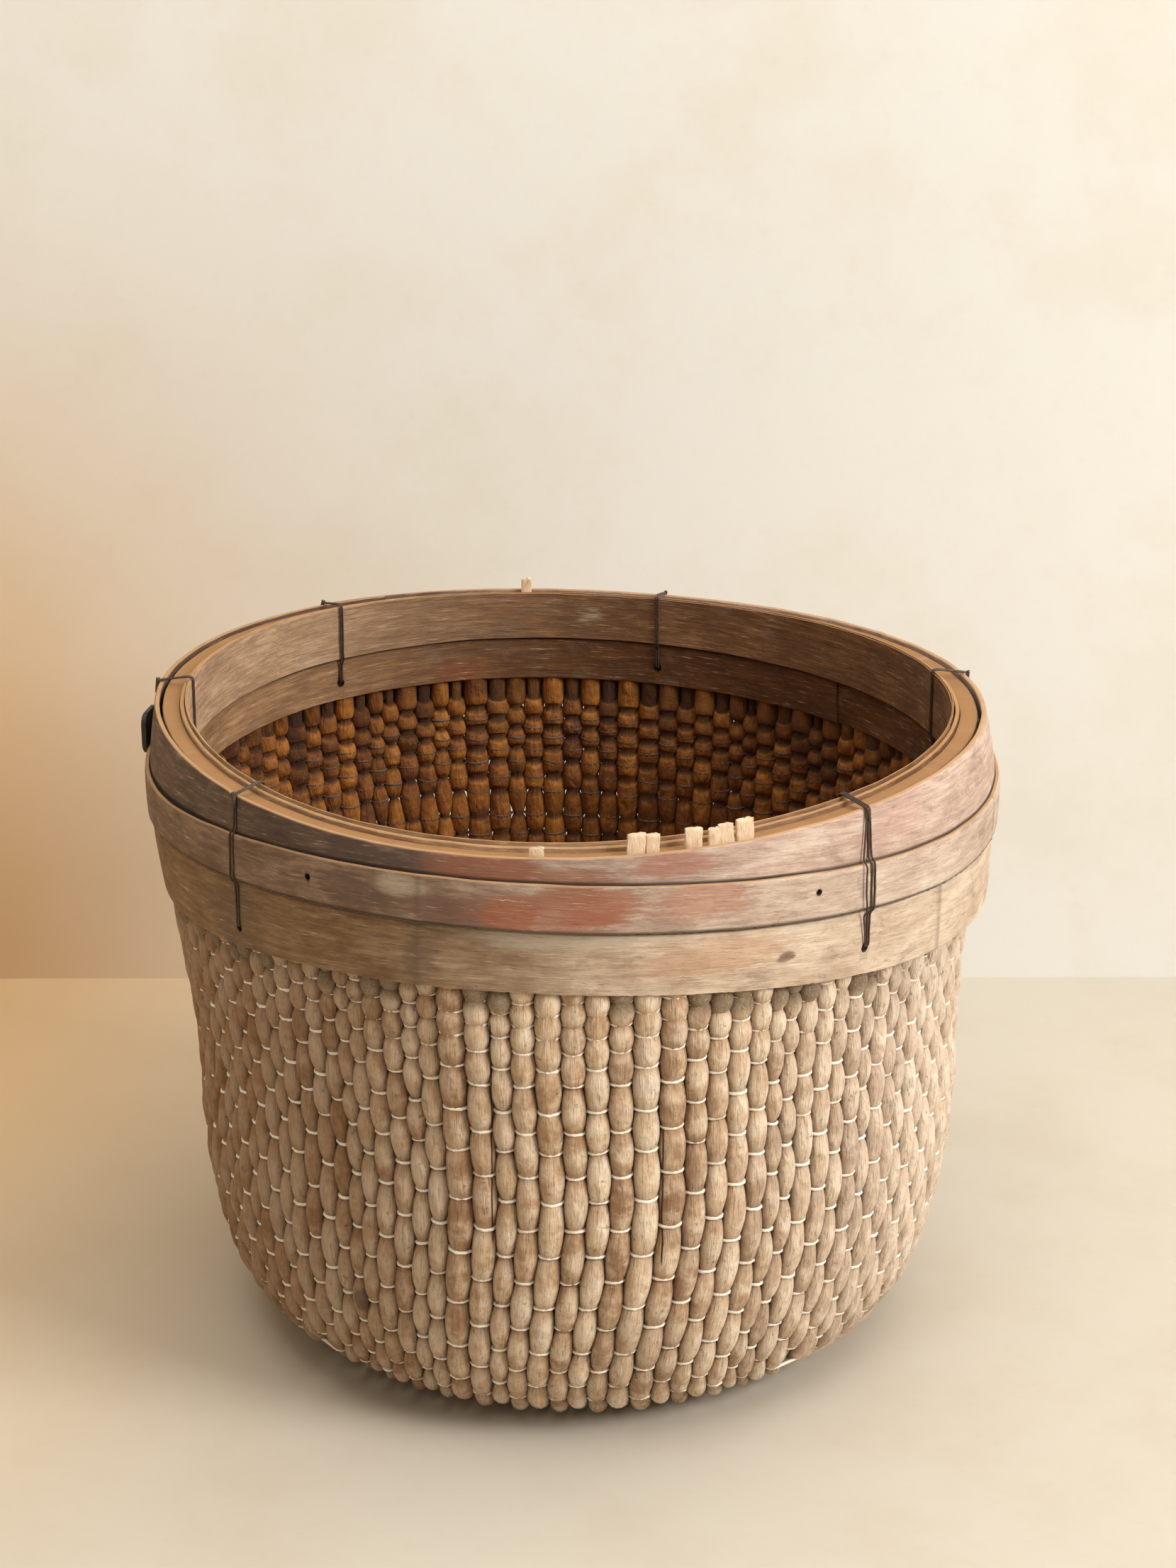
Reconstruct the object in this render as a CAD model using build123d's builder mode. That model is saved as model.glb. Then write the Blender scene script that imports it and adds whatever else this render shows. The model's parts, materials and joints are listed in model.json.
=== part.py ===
# A round grain basket: willow rods stitched together with thread, bound at the rim by bent strips.
# Millimetres, +Z up. The origin is on the ground, under the middle of the whole. The front is -Y.
import os
from functools import cache
from math import asin, atan2, ceil, cos, hypot, pi, radians, sin, sqrt

from build123d import *

os.makedirs("parts", exist_ok=True)

# The whole basket
rim_radius = 190.0
basket_height = 298.0
floor_radius = 119.0
floor_line_height = 4.8

# The middle line of the rods from the foot to the rim, as shares of rim radius and basket height
wall_place_shares = [
    (0.705, 0.027),
    (0.774, 0.055),
    (0.842, 0.113),
    (0.889, 0.206),
    (0.925, 0.344),
    (0.934, 0.500),
    (0.949, 0.660),
    (0.960, 0.780),
]

# The rim is out of round and sits a little off the foot, as hand-bent strips do
oval_share = 0.020
oval_angle = radians(-40)
egg_share = 0.034
egg_angle = radians(19.4)
foot_twist_angle = radians(5)
twist_height = 150.0
rim_shift_x = -6.4
rim_shift_y = -4.5
foot_centre_x = 6.9
foot_centre_y = 9.5
rim_blend_height = 210.0

# Rods
long_rod_count = 27
side_rod_count = 33
long_rod_width_shares = [
    1.02, 0.97, 0.86, 0.76, 0.82, 0.97, 0.94, 0.80, 0.90, 1.20, 1.10, 0.90, 1.02, 1.12,
    1.02, 1.02, 1.05, 1.20, 1.20, 1.05, 1.02, 1.06, 1.02, 0.82, 0.82, 1.05, 1.10,
]
side_width_swing_share = 0.13
side_width_step = 2.4
bead_depth = 0.35
crossing_offset = 0.65
hidden_rod_radius = 3.0
hidden_rod_thinning = 0.5
hidden_reach = 6.0
rod_tip_radius = 1.2
rod_end_gap = 0.3
resting_depth = 0.3
resting_blend_height = 25.0
floor_fan_radius = 150.0
floor_fan_share = 1.07
fan_height = 60.0
narrowest_rod_pitch = 7.9

# Thread rows, as shares of the height, and rows across the floor
thread_diameter = 1.0
thread_gap = 0.15
lowest_ring_height = 20.0
unthreaded_row_count = 2
wall_row_shares = [
    0.815, 0.795, 0.776, 0.758, 0.741, 0.721, 0.698, 0.671, 0.644, 0.601, 0.567, 0.534,
    0.493, 0.451, 0.403, 0.359, 0.312, 0.265, 0.225, 0.178, 0.141, 0.107, 0.070, 0.034,
]
floor_row_spacing = 13.5
floor_row_count = 15
smallest_wrapped_radius = 2.0
closest_share = 0.985

# Rim strips: drops are below the rim's top, arches are how much lower a line runs at the sides
strip_corner_radius = 0.4
strip_gap = 0.3
outer_strip_thickness = 2.4
middle_strip_width = 21.0
middle_strip_thickness = 2.0
middle_line_drop = 20.5
middle_line_arch = 20.0
middle_line_angle = radians(-103)
bottom_line_drop = 60.0
bottom_line_arch = 25.0
bottom_line_angle = radians(-100)
strip_lap_angle = radians(9)
strip_end_thickness = 1.0
lap_angles = [radians(a) for a in (118, 60, 152, 100, 40, 140, 70)]
hole_reach = 25.0
ply_cover = 6.0
inner_strip_thickness = 2.0
inner_ply_thickness = 1.2
inner_ply_drop = 22.0
inner_rise = 2.0
inner_bottom_drop = 44.0
inner_line_arch = 8.0
inner_line_angle = radians(87)
filler_width = 5.6
filler_thickness = 3.0
filler_drop = 3.7

# Wire ties: each is two turns of wire over the rim and through the wall
wire_diameter = 1.0
wire_bend_radius = 1.6
wire_strand_spacing = 1.2
wire_slack = 0.3
wire_hole_diameter = 4.0
wire_hole_rise = 9.0
lowest_wire_hole_height = 234.5
tie_twist_length = 9.0
tie_twist_diameter = 2.2
tie_angles = {
    "front_left": radians(-140),
    "front_right": radians(-46),
    "right_back": radians(14),
    "back": radians(75),
    "back_left": radians(128),
    "left": radians(170),
}

# Small pieces
wedge_angles = [radians(a) for a in (-93, -80.8, -78.6, -73.2, -70.4, -68.3, -65.8, 96)]
wedge_rises = [4.0, 8.5, 8.0, 8.0, 7.5, 8.0, 8.5, 7.0]
wedge_width = 5.8
wedge_thickness = 2.0
tag_width = 20.0
tag_height = 20.0
tag_thickness = 3.0
tag_drop = 14.0
tag_clearance = 0.3
tag_corner_radius = 5.0
nail_hole_diameter = 3.0
nail_hole_angles = [radians(-116), radians(-59)]

# Sizes that follow
rim_shift = Vector(rim_shift_x, rim_shift_y, 0)
foot_centre = Vector(foot_centre_x, foot_centre_y, 0)
rim_centre = foot_centre + rim_shift
rods_round = 2 * (long_rod_count + side_rod_count)
rod_angle = 2 * pi / rods_round
rim_probe_angle = rod_angle / 10
thread_room = thread_diameter + 2 * thread_gap
outer_seat_radius = rim_radius - outer_strip_thickness
rod_line_radius = outer_seat_radius - thread_room - hidden_rod_radius
inner_seat_radius = rod_line_radius - hidden_rod_radius - thread_room
middle_seat_radius = rim_radius + strip_gap
ply_seat_radius = inner_seat_radius - inner_strip_thickness - strip_gap
rod_top_height = basket_height - filler_drop - filler_thickness - strip_gap

with BuildLine(Plane.XZ) as wall_line:
    Spline(
        [(floor_radius, floor_line_height)]
        + [(r * rim_radius, h * basket_height) for r, h in wall_place_shares]
        + [(rod_line_radius, rod_top_height)],
        tangents=[(1, 0), (0, 1)],
    )
samples = 600
wall_edge = wall_line.edges()[0]
wall_points = [(p.X, p.Z) for p in (wall_edge.position_at(i / samples) for i in range(samples + 1))]


def smooth(value):
    """Ease from 0 to 1."""
    value = min(max(value, 0.0), 1.0)
    return value * value * (3 - 2 * value)


def mix(a, b, share):
    return a + (b - a) * share


@cache
def wall_at(share):
    """Radius and height of the rods' middle line, by the share of its length above the floor."""
    place = min(max(share, 0.0), 1.0) * samples
    i = min(int(place), samples - 1)
    (low_radius, low_height), (high_radius, high_height) = wall_points[i], wall_points[i + 1]
    return mix(low_radius, high_radius, place - i), mix(low_height, high_height, place - i)


def share_at_height(height):
    for i in range(samples):
        low, high = wall_points[i][1], wall_points[i + 1][1]
        if low <= height <= high:
            return (i + (height - low) / (high - low)) / samples
    return 1.0


def rim_shape(angle):
    """Radius of the rim at an angle, as a share of its mean radius."""
    return 1 + oval_share * cos(2 * (angle - oval_angle)) + egg_share * cos(3 * (angle - egg_angle))


def rim_place(angle, radius, height):
    """A point at the rim, by its angle and its radius before the rim is drawn out of round."""
    reach = radius * rim_shape(angle)
    return Vector(reach * cos(angle), reach * sin(angle), height) + rim_centre


def rim_normal(angle):
    """Level direction straight out of the rim, which differs from the radius where it is out of round."""
    after = rim_place(angle + rim_probe_angle, rim_radius, 0)
    before = rim_place(angle - rim_probe_angle, rim_radius, 0)
    tangent = after - before
    return Vector(tangent.Y, -tangent.X, 0).normalized()


def warp(point):
    """Turn the foot against the rim, and draw the round rim out of round."""
    turn = -foot_twist_angle * (1 - smooth(point.Z / twist_height))
    x = point.X * cos(turn) - point.Y * sin(turn)
    y = point.X * sin(turn) + point.Y * cos(turn)
    blend = smooth(point.Z / rim_blend_height)
    swell = mix(1.0, rim_shape(atan2(y, x)), blend)
    return Vector(x * swell, y * swell, point.Z) + foot_centre + rim_shift * blend


def cumulated(widths):
    """Middles of pieces of these widths laid side by side, about zero, and their whole width."""
    places = []
    edge = -sum(widths) / 2
    for width in widths:
        places.append(edge + width / 2)
        edge += width
    return places


long_places = cumulated(long_rod_width_shares)
long_total = sum(long_rod_width_shares)
side_width_shares = [1 + side_width_swing_share * sin(side_width_step * j) for j in range(side_rod_count)]
side_places = cumulated(side_width_shares)
side_room = sum(side_width_shares) / 2 + long_rod_width_shares[0] / 2


def long_angle(i):
    """Angle of a long rod on the wall, from the front towards +X."""
    return long_places[i] / long_total * long_rod_count * rod_angle


@cache
def long_x(i, share):
    radius, height = wall_at(share)
    on_wall = radius * sin(long_angle(i))
    on_floor = floor_fan_radius * sin(long_angle(i) * floor_fan_share)
    return mix(on_floor, on_wall, smooth(height / fan_height))


@cache
def long_point(i, share, back):
    radius, height = wall_at(share)
    x = long_x(i, share)
    y = sqrt(max(radius * radius - x * x, 0.0))
    return Vector(x, y if back else -y, height)


@cache
def side_span(share):
    """Angle from the +X axis to the outermost long rod, and how many rod widths it holds."""
    radius, height = wall_at(share)
    outermost = long_rod_count - 1
    angle = pi / 2 - atan2(long_x(outermost, share), abs(long_point(outermost, share, False).Y))
    return angle, min(side_room, angle * radius / narrowest_rod_pitch)


@cache
def side_point(j, share, left):
    radius, height = wall_at(share)
    angle, room = side_span(share)
    turn = angle * side_places[j] / room + (pi if left else 0.0)
    return Vector(radius * cos(turn), radius * sin(turn), height)


wall_rows = [share_at_height(row * basket_height) for row in wall_row_shares]
top_share = wall_rows[0]
nudge = 0.002
foot_steps = 3


def rim_line(drop, arch, middle, angle):
    """Height of a line round the rim that runs lower at the sides by its arch."""
    return basket_height - drop - arch * sin(angle - middle) ** 2


def middle_line(angle):
    return rim_line(middle_line_drop, middle_line_arch, middle_line_angle, angle)


def rim_top(angle):
    return basket_height


def inner_ply_line(angle):
    return rim_line(inner_ply_drop, inner_line_arch, inner_line_angle, angle)


def inner_bottom_line(angle):
    return rim_line(inner_bottom_drop, inner_line_arch, inner_line_angle, angle)


def bottom_line(angle):
    return rim_line(bottom_line_drop, bottom_line_arch, bottom_line_angle, angle)


def half_width(width, distances):
    """Half the room that a rod takes, from its width share and the distances to its neighbours."""
    scale = min(distance / ((width + other) / 2) for distance, other in distances)
    return width * scale / 2 - thread_room / 2


floor_xs = [long_x(i, 0.0) for i in range(long_rod_count)]


def floor_half(i):
    near = [n for n in (i - 1, i + 1) if 0 <= n < long_rod_count]
    distances = [(abs(floor_xs[n] - floor_xs[i]), long_rod_width_shares[n]) for n in near]
    return half_width(long_rod_width_shares[i], distances)


floor_halves = [floor_half(i) for i in range(long_rod_count)]


@cache
def long_place(i, share, back):
    """Middle of a long rod on the wall, with its foot let down until the rod rests."""
    point = long_point(i, share, back)
    rest = floor_halves[i] + bead_depth + crossing_offset - resting_depth
    drop = (rest - floor_line_height) * (1 - smooth(point.Z / resting_blend_height))
    return warp(point + Vector(0, 0, drop))


def floor_place(i, y):
    rest = floor_halves[i] + bead_depth + crossing_offset - resting_depth
    return warp(Vector(floor_xs[i], y, rest))


@cache
def side_place(j, share, left):
    return warp(side_point(j, share, left))


def bead(middle, along, across, half, phase, hidden):
    """Plane and radius of a rod's section: drawn in under the thread, and full beside it."""
    outward = along.cross(across).normalized()
    if hidden:
        return middle, along, across, min(half - hidden_rod_thinning, hidden_rod_radius), outward
    return middle + outward * (crossing_offset * phase), along, across, half + bead_depth * phase, outward


def is_hidden(point):
    return point.Z > bottom_line(atan2(point.Y - rim_centre.Y, point.X - rim_centre.X)) - hidden_reach


def phase_at(k, row):
    """-1 where the thread of this row passes outside rod k, and 1 where it passes inside."""
    return -1 if (k + row) % 2 == 0 else 1


def is_merging(share):
    """True low on the wall, where the side rods run out against the long rods."""
    return side_span(share)[1] < side_room


def gap_across(one, other, heading):
    """Distance between two points, seen along a rod's heading."""
    apart = other - one
    return (apart - heading * apart.dot(heading)).length


@cache
def long_heading(i, share, back):
    upper = long_place(i, min(share + nudge, 1.0), back)
    lower = long_place(i, max(share - nudge, 0.0), back)
    return (upper - lower if back else lower - upper).normalized()


@cache
def long_half(i, share, back):
    """Half the room of a long rod between its neighbours on the wall."""
    middle, along = long_place(i, share, back), long_heading(i, share, back)
    near = [n for n in (i - 1, i + 1) if 0 <= n < long_rod_count]
    distances = []
    for n in near:
        distances.append((gap_across(middle, long_place(n, share, back), along), long_rod_width_shares[n]))
    if len(near) == 1 and not is_merging(share):
        left = i == 0
        j = side_rod_count - 1 if left != back else 0
        distances.append((gap_across(middle, side_place(j, share, left), along), side_width_shares[j]))
    return half_width(long_rod_width_shares[i], distances)


def long_section(i, share, back, phase):
    near = [n for n in (i - 1, i + 1) if 0 <= n < long_rod_count]
    middle, along = long_place(i, share, back), long_heading(i, share, back)
    half = long_half(i, share, back)
    first = near[0] if len(near) > 1 else i
    across = (long_place(near[-1], share, back) - long_place(first, share, back)).normalized()
    if len(near) == 1 and near[0] < i:
        across = (middle - long_place(near[0], share, back)).normalized()
    return bead(middle, along, across, half, phase, is_hidden(middle))


def floor_section(i, y, phase):
    along = (floor_place(i, y + nudge * floor_radius) - floor_place(i, y)).normalized()
    across = along.cross(Vector(0, 0, 1))
    return bead(floor_place(i, y), along, across, floor_halves[i], phase, False)


def side_section(j, share, left, phase):
    near = [n for n in (j - 1, j + 1) if 0 <= n < side_rod_count]
    middle = side_place(j, share, left)
    upper = side_place(j, min(share + nudge, 1.0), left)
    lower = side_place(j, max(share - nudge, 0.0), left)
    along = (lower - upper).normalized()
    distances = [(gap_across(middle, side_place(n, share, left), along), side_width_shares[n]) for n in near]
    if len(near) == 1 and not is_merging(share):
        i = 0 if left else long_rod_count - 1
        back = (j == 0) == left
        distances.append((gap_across(middle, long_place(i, share, back), along), long_rod_width_shares[i]))
    half = half_width(side_width_shares[j], distances)
    first = near[0] if near[0] < j else j
    last = near[-1] if near[-1] > j else j
    across = (side_place(last, share, left) - side_place(first, share, left)).normalized()
    room = side_reach(j, share, left)
    section = bead(middle, along, across, half, phase, is_hidden(middle))
    return section[:3] + (min(section[3], room),) + section[4:]


@cache
def side_reach(j, share, left):
    """How thick a side rod may be before it meets the outermost long rod beside it."""
    middle = side_place(j, share, left)
    i = 0 if left else long_rod_count - 1
    gaps = []
    for back in (False, True):
        gap = gap_across(long_place(i, share, back), middle, long_heading(i, share, back))
        gaps.append(gap - long_half(i, share, back) - bead_depth - rod_end_gap)
    return min(gaps)


@cache
def rod_end_share(j, left):
    """Lowest place on the wall that a side rod reaches, as a share of the wall's line."""
    share = wall_rows[-6]
    while share > 0 and side_reach(j, share - nudge, left) > rod_tip_radius:
        share -= nudge
    return max(share, 0.0)


def side_floor_reach(middle, along, radius, left):
    """How far a side rod runs on across the floor to the outermost long rod."""
    i = 0 if left else long_rod_count - 1
    first, last = floor_place(i, -floor_radius), floor_place(i, floor_radius)
    line = (last - first).normalized()
    slant = abs(along.dot(line))
    room = gap_across(first, middle, line) - floor_halves[i] - bead_depth - rod_end_gap
    return (room - radius * slant) / sqrt(1 - slant * slant)


def make_stretch(sections):
    """One stretch of a rod that turns by less than a right angle, lofted through its sections."""
    with BuildPart() as stretch:
        for middle, along, across, radius, outward in sections:
            with BuildSketch(Plane(origin=middle, x_dir=across, z_dir=along)):
                Circle(radius)
        loft(ruled=True)
    return stretch.part


def make_rod(*stretches):
    """One rod of stretches that share their end sections, flat where it rests on the ground."""
    with BuildPart() as rod:
        for sections in stretches:
            add(make_stretch(sections))
        if rod.part.bounding_box().min.Z < 0:
            split(bisect_by=Plane.XY, keep=Keep.TOP)
    return rod.part


def wall_sections(section, k, lowest):
    """Sections of a rod from its top down to a share of the wall's line."""
    sections = [section(1.0, 1)]
    for row, share in enumerate(wall_rows):
        if share > lowest:
            sections.append(section(share, phase_at(k, row)))
    return sections


def foot_sections(section, lowest):
    """Sections of a rod round the bend of the foot, below the last row."""
    steps = [wall_rows[-1] * step / foot_steps for step in range(foot_steps - 1, -1, -1)]
    return [section(share, 0) for share in steps if share >= lowest]


def make_long_rod(i):
    foot_y = abs(long_point(i, 0.0, False).Y)
    back_k = 2 * long_rod_count + side_rod_count - 1 - i
    halves = []
    for k, is_back in ((i, False), (back_k, True)):
        def section(share, phase):
            return long_section(i, share, is_back, phase)

        halves.append((wall_sections(section, k, 0.0), foot_sections(section, 0.0)))
    (front, front_foot), (back, back_foot) = halves
    floor = []
    for row in range(floor_row_count):
        y = (row - (floor_row_count - 1) / 2) * floor_row_spacing
        if abs(y) < foot_y - floor_row_spacing / 2:
            floor.append(floor_section(i, y, phase_at(i, row)))
    middle = front[-1:] + front_foot + floor + back_foot[::-1] + back[-1:]
    return make_rod(front, middle, back)


def make_side_rod(j, left):
    k = long_rod_count + j + (long_rod_count + side_rod_count if left else 0)
    lowest = rod_end_share(j, left)

    def section(share, phase):
        return side_section(j, share, left, phase)

    sections = wall_sections(section, k, lowest + nudge)
    if lowest > 0:
        sections += foot_sections(section, lowest + nudge)
        sections.append(section(lowest, 0))
        return make_rod(sections)
    sections += foot_sections(section, 0.0)
    middle, along, across, radius, outward = sections[-1]
    reach = side_floor_reach(middle, along, radius, left)
    if reach > rod_end_gap:
        sections.append((middle + along * reach, along, across, radius, outward))
    return make_rod(sections)


def eased(circles):
    """The same circles, made small enough for the thread to pass between each two."""
    sizes = [circle[2] for circle in circles]
    for n, (one, two) in enumerate(zip(circles, circles[1:])):
        room = hypot(two[0] - one[0], two[1] - one[1]) * closest_share
        if one[3] != two[3] and sizes[n] + sizes[n + 1] > room:
            ratio = room / (sizes[n] + sizes[n + 1])
            sizes[n] *= ratio
            sizes[n + 1] *= ratio
    return [(x, y, size, side) for (x, y, r, side), size in zip(circles, sizes)]


def wrap(circles):
    """A thread laid round circles in turn: arcs round them and straight runs between them."""
    circles = eased(circles)
    ends = []
    for (x0, y0, r0, side0), (x1, y1, r1, side1) in zip(circles, circles[1:]):
        distance = hypot(x1 - x0, y1 - y0)
        heading = atan2(y1 - y0, x1 - x0)
        lean = asin(max(min((side0 * r0 - side1 * r1) / distance, 1.0), -1.0))
        normal = heading - pi / 2 + lean
        start = (x0 + side0 * r0 * cos(normal), y0 + side0 * r0 * sin(normal))
        stop = (x1 + side1 * r1 * cos(normal), y1 + side1 * r1 * sin(normal))
        ends.append((start, stop))
    pieces = [Line(*ends[0], mode=Mode.PRIVATE)]
    for (x, y, r, side), (start, stop), (before, arrive) in zip(circles[1:-1], ends[1:], ends[:-1]):
        first = atan2(arrive[1] - y, arrive[0] - x)
        last = atan2(start[1] - y, start[0] - x)
        turn = (last - first) * side % (2 * pi) * side
        if abs(turn) < pi * 1.5:
            middle = (x + r * cos(first + turn / 2), y + r * sin(first + turn / 2))
            pieces.append(ThreePointArc(arrive, middle, start, mode=Mode.PRIVATE))
        pieces.append(Line(start, stop, mode=Mode.PRIVATE))
    return pieces


def make_thread(circles, plane):
    with BuildPart() as thread:
        with BuildLine(plane) as path:
            add(wrap(circles))
        wire = path.wires()[0]
        with BuildSketch(Plane(origin=wire @ 0, z_dir=wire % 0)):
            Circle(thread_diameter / 2)
        sweep(path=wire)
    return thread.part


def ring_circle(section, k, row):
    """Circle that the thread of a row takes round a rod, and the side that it passes on."""
    middle, along, across, radius, outward = section
    side = -phase_at(k, row)
    level = Vector(outward.X, outward.Y, 0).normalized()
    steep = radius / abs(along.Z) - radius
    middle = middle + level * (side * steep)
    return middle.X, middle.Y, radius + thread_room / 2, side


def ring_circles(row):
    share = wall_rows[row]
    circles = []
    for i in range(long_rod_count):
        circles.append(ring_circle(long_section(i, share, False, phase_at(i, row)), i, row))
    for j in range(side_rod_count):
        k = long_rod_count + j
        section = side_section(j, share, False, phase_at(k, row))
        if rod_end_share(j, False) < share and section[3] > smallest_wrapped_radius:
            circles.append(ring_circle(section, k, row))
    for i in range(long_rod_count):
        k = long_rod_count + side_rod_count + i
        section = long_section(long_rod_count - 1 - i, share, True, phase_at(k, row))
        circles.append(ring_circle(section, k, row))
    for j in range(side_rod_count):
        k = 2 * long_rod_count + side_rod_count + j
        section = side_section(j, share, True, phase_at(k, row))
        if rod_end_share(j, True) < share and section[3] > smallest_wrapped_radius:
            circles.append(ring_circle(section, k, row))
    return circles


def strip_section(angle, inner, thickness, low, high):
    """Section of a rim strip: its inner face, its thickness, and its two edges."""
    return rim_place(angle, inner + thickness / 2, (low + high) / 2), thickness, high - low


def make_strip(inner, thickness, low, high, start):
    """A strip bent round once, thinned at both ends where they lap over each other."""
    step = strip_lap_angle / 2
    count = ceil((2 * pi + strip_lap_angle) / step)
    with BuildPart() as strip:
        for place in range(count + 1):
            turn = place * step
            left = (count - place) * step
            seat, thick = lap(turn, left, thickness)
            angle = start + turn
            middle, depth, height = strip_section(angle, inner + seat, thick, low(angle), high(angle))
            out, along = (cos(angle), sin(angle), 0), (-sin(angle), cos(angle), 0)
            with BuildSketch(Plane(origin=middle, x_dir=out, z_dir=along)):
                RectangleRounded(depth, height, strip_corner_radius)
        loft()
    return strip.part


def lap(turn, left, thickness):
    """How far a strip stands off its seat and how thick it is, by the angles from its two ends."""
    tip = strip_end_thickness
    under = mix(tip, thickness, turn / (2 * strip_lap_angle))
    if turn < 2 * strip_lap_angle:
        return 0.0, under
    if left < strip_lap_angle:
        under = mix(tip, thickness, (strip_lap_angle - left) / (2 * strip_lap_angle))
        return under + strip_gap, tip
    rise = max(1 - (left - strip_lap_angle) / (2 * strip_lap_angle), 0.0)
    return (tip + strip_gap) * rise, mix(thickness, tip, rise)


def cut_holes(strip, holes):
    """Round holes through the rim, each given by its angle, height and diameter."""
    with BuildPart() as holed:
        add(strip)
        for angle, height, diameter in holes:
            plane = Plane(origin=rim_place(angle, rim_radius, height), z_dir=(cos(angle), sin(angle), 0))
            with BuildSketch(plane):
                Circle(diameter / 2)
            extrude(amount=hole_reach, both=True, mode=Mode.SUBTRACT)
    return holed.part


def rod_gap_angle(angle):
    """The nearest gap between two rods under the rim, and the height range of the hole there."""
    places = []
    for i in range(long_rod_count):
        places += [long_place(i, top_share, False), long_place(i, top_share, True)]
    for j in range(side_rod_count):
        places += [side_place(j, top_share, False), side_place(j, top_share, True)]
    angles = sorted(atan2(p.Y - rim_centre.Y, p.X - rim_centre.X) for p in places)
    angles.append(angles[0] + 2 * pi)
    gaps = [(a + b) / 2 for a, b in zip(angles, angles[1:])]
    return min(gaps, key=lambda gap: abs((gap - angle + pi) % (2 * pi) - pi))


def outer_hole_height(angle):
    return max(bottom_line(angle) + wire_hole_rise, lowest_wire_hole_height)


def make_tie(angle):
    """Two turns of wire: up the outside, over the rim, down the inside and back through the wall."""
    swell = rim_shape(angle)
    stand_off = wire_diameter / 2 + wire_slack
    outside = (middle_seat_radius + middle_strip_thickness) * swell + stand_off
    low_outside = rim_radius * swell + stand_off
    inside = (ply_seat_radius - inner_ply_thickness) * swell - stand_off
    low_inside = (inner_seat_radius - inner_strip_thickness) * swell - stand_off
    top = basket_height + inner_rise + stand_off
    outer_hole = outer_hole_height(angle)
    inner_hole = inner_bottom_line(angle) + wire_hole_rise
    between = rod_line_radius * swell
    middle_low = middle_line(angle) - middle_strip_width / 2
    route = [
        (outside, top), (outside, middle_low),
        (low_outside, middle_low - wire_bend_radius * 2), (low_outside, outer_hole),
        (between, outer_hole), (between, inner_hole),
        (low_inside, inner_hole), (low_inside, inner_ply_line(angle) - wire_bend_radius * 2),
        (inside, inner_ply_line(angle)), (inside, top),
    ]
    across = Vector(-sin(angle), cos(angle), 0)
    turns = []
    for side in (-1, 1):
        plane = Plane(
            origin=rim_centre + across * (side * wire_strand_spacing / 2), x_dir=(cos(angle), sin(angle), 0),
            z_dir=-across,
        )
        with BuildPart() as turn:
            with BuildLine(plane) as path:
                FilletPolyline(*route, radius=wire_bend_radius, close=True)
            wire = path.wires()[0]
            with BuildSketch(Plane(origin=wire @ 0, z_dir=wire % 0)):
                Circle(wire_diameter / 2)
            sweep(path=wire)
        turns.append(turn.part.solid())
    twist_reach = (outside + stand_off + tie_twist_diameter / 2) / swell
    twist_plane = Plane(
        origin=rim_place(angle, twist_reach, top - wire_bend_radius),
        x_dir=(cos(angle), sin(angle), 0), z_dir=(0, 0, -1),
    )
    with BuildPart() as twist:
        with BuildSketch(twist_plane):
            Circle(tie_twist_diameter / 2)
        extrude(amount=tie_twist_length)
        fillet(twist.edges(), tie_twist_diameter / 4)
    turns.append(twist.part.solid())
    return turns


def make_wedge(angle, rise):
    """A slip of split cane pushed down between the outer strip and the filler."""
    low = rod_top_height + strip_gap
    seat = outer_seat_radius - strip_gap - wedge_thickness / 2
    plane = Plane(origin=rim_place(angle, seat, low), x_dir=rim_normal(angle), z_dir=(0, 0, 1))
    with BuildPart() as wedge:
        with BuildSketch(plane):
            RectangleRounded(wedge_thickness, wedge_width, wedge_thickness / 4)
        extrude(amount=basket_height + rise - low)
    return wedge.part


def make_tag(angle):
    """A small rounded plate hung on a wire outside the strips."""
    seat = middle_seat_radius + middle_strip_thickness + wire_diameter + 2 * wire_slack + tag_clearance
    normal = rim_normal(angle)
    plane = Plane(
        origin=rim_place(angle, seat, basket_height - tag_drop - tag_height / 2),
        x_dir=(-normal.Y, normal.X, 0), z_dir=normal,
    )
    with BuildPart() as tag:
        with BuildSketch(plane):
            RectangleRounded(tag_width, tag_height, tag_corner_radius)
        extrude(amount=tag_thickness)
        fillet(tag.faces().sort_by(Axis((0, 0, 0), normal))[-1].edges(), tag_thickness / 3)
    return tag.part


def write(parts, name):
    solids = [solid for part in parts for solid in part.solids()]
    group = Compound(solids, label=name)
    export_step(group, "parts/" + name + ".step")
    print(name, len(solids), "solids", round(sum(s.volume for s in solids)), "mm3")


# Rods: long ones run down the front, across the floor and up the back
third = long_rod_count // 3
for name, first in (("left", 0), ("middle", third), ("right", 2 * third)):
    write([make_long_rod(i) for i in range(first, first + third)], "long_rods_" + name)

third = side_rod_count // 3
for left in (False, True):
    for name, first in (("front", 0), ("middle", third), ("back", 2 * third)):
        place = {"front": "back", "back": "front"}.get(name, name) if left else name
        rods = [make_side_rod(j, left) for j in range(first, first + third)]
        write(rods, ("left" if left else "right") + "_side_rods_" + place)

# Threads: rings round the wall, and rows across the floor
ring_rows = [
    row for row, share in enumerate(wall_row_shares)
    if row >= unthreaded_row_count and share * basket_height > lowest_ring_height
]
ring_nodes = {
    "rim_threads": ring_rows[:3],
    "upper_threads": ring_rows[3:9],
    "middle_threads": ring_rows[9:15],
    "lower_threads": ring_rows[15:],
}
for name, rows in ring_nodes.items():
    rings = []
    for row in rows:
        rings.append(make_thread(ring_circles(row), Plane.XY.offset(wall_row_shares[row] * basket_height)))
    write(rings, name)

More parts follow.
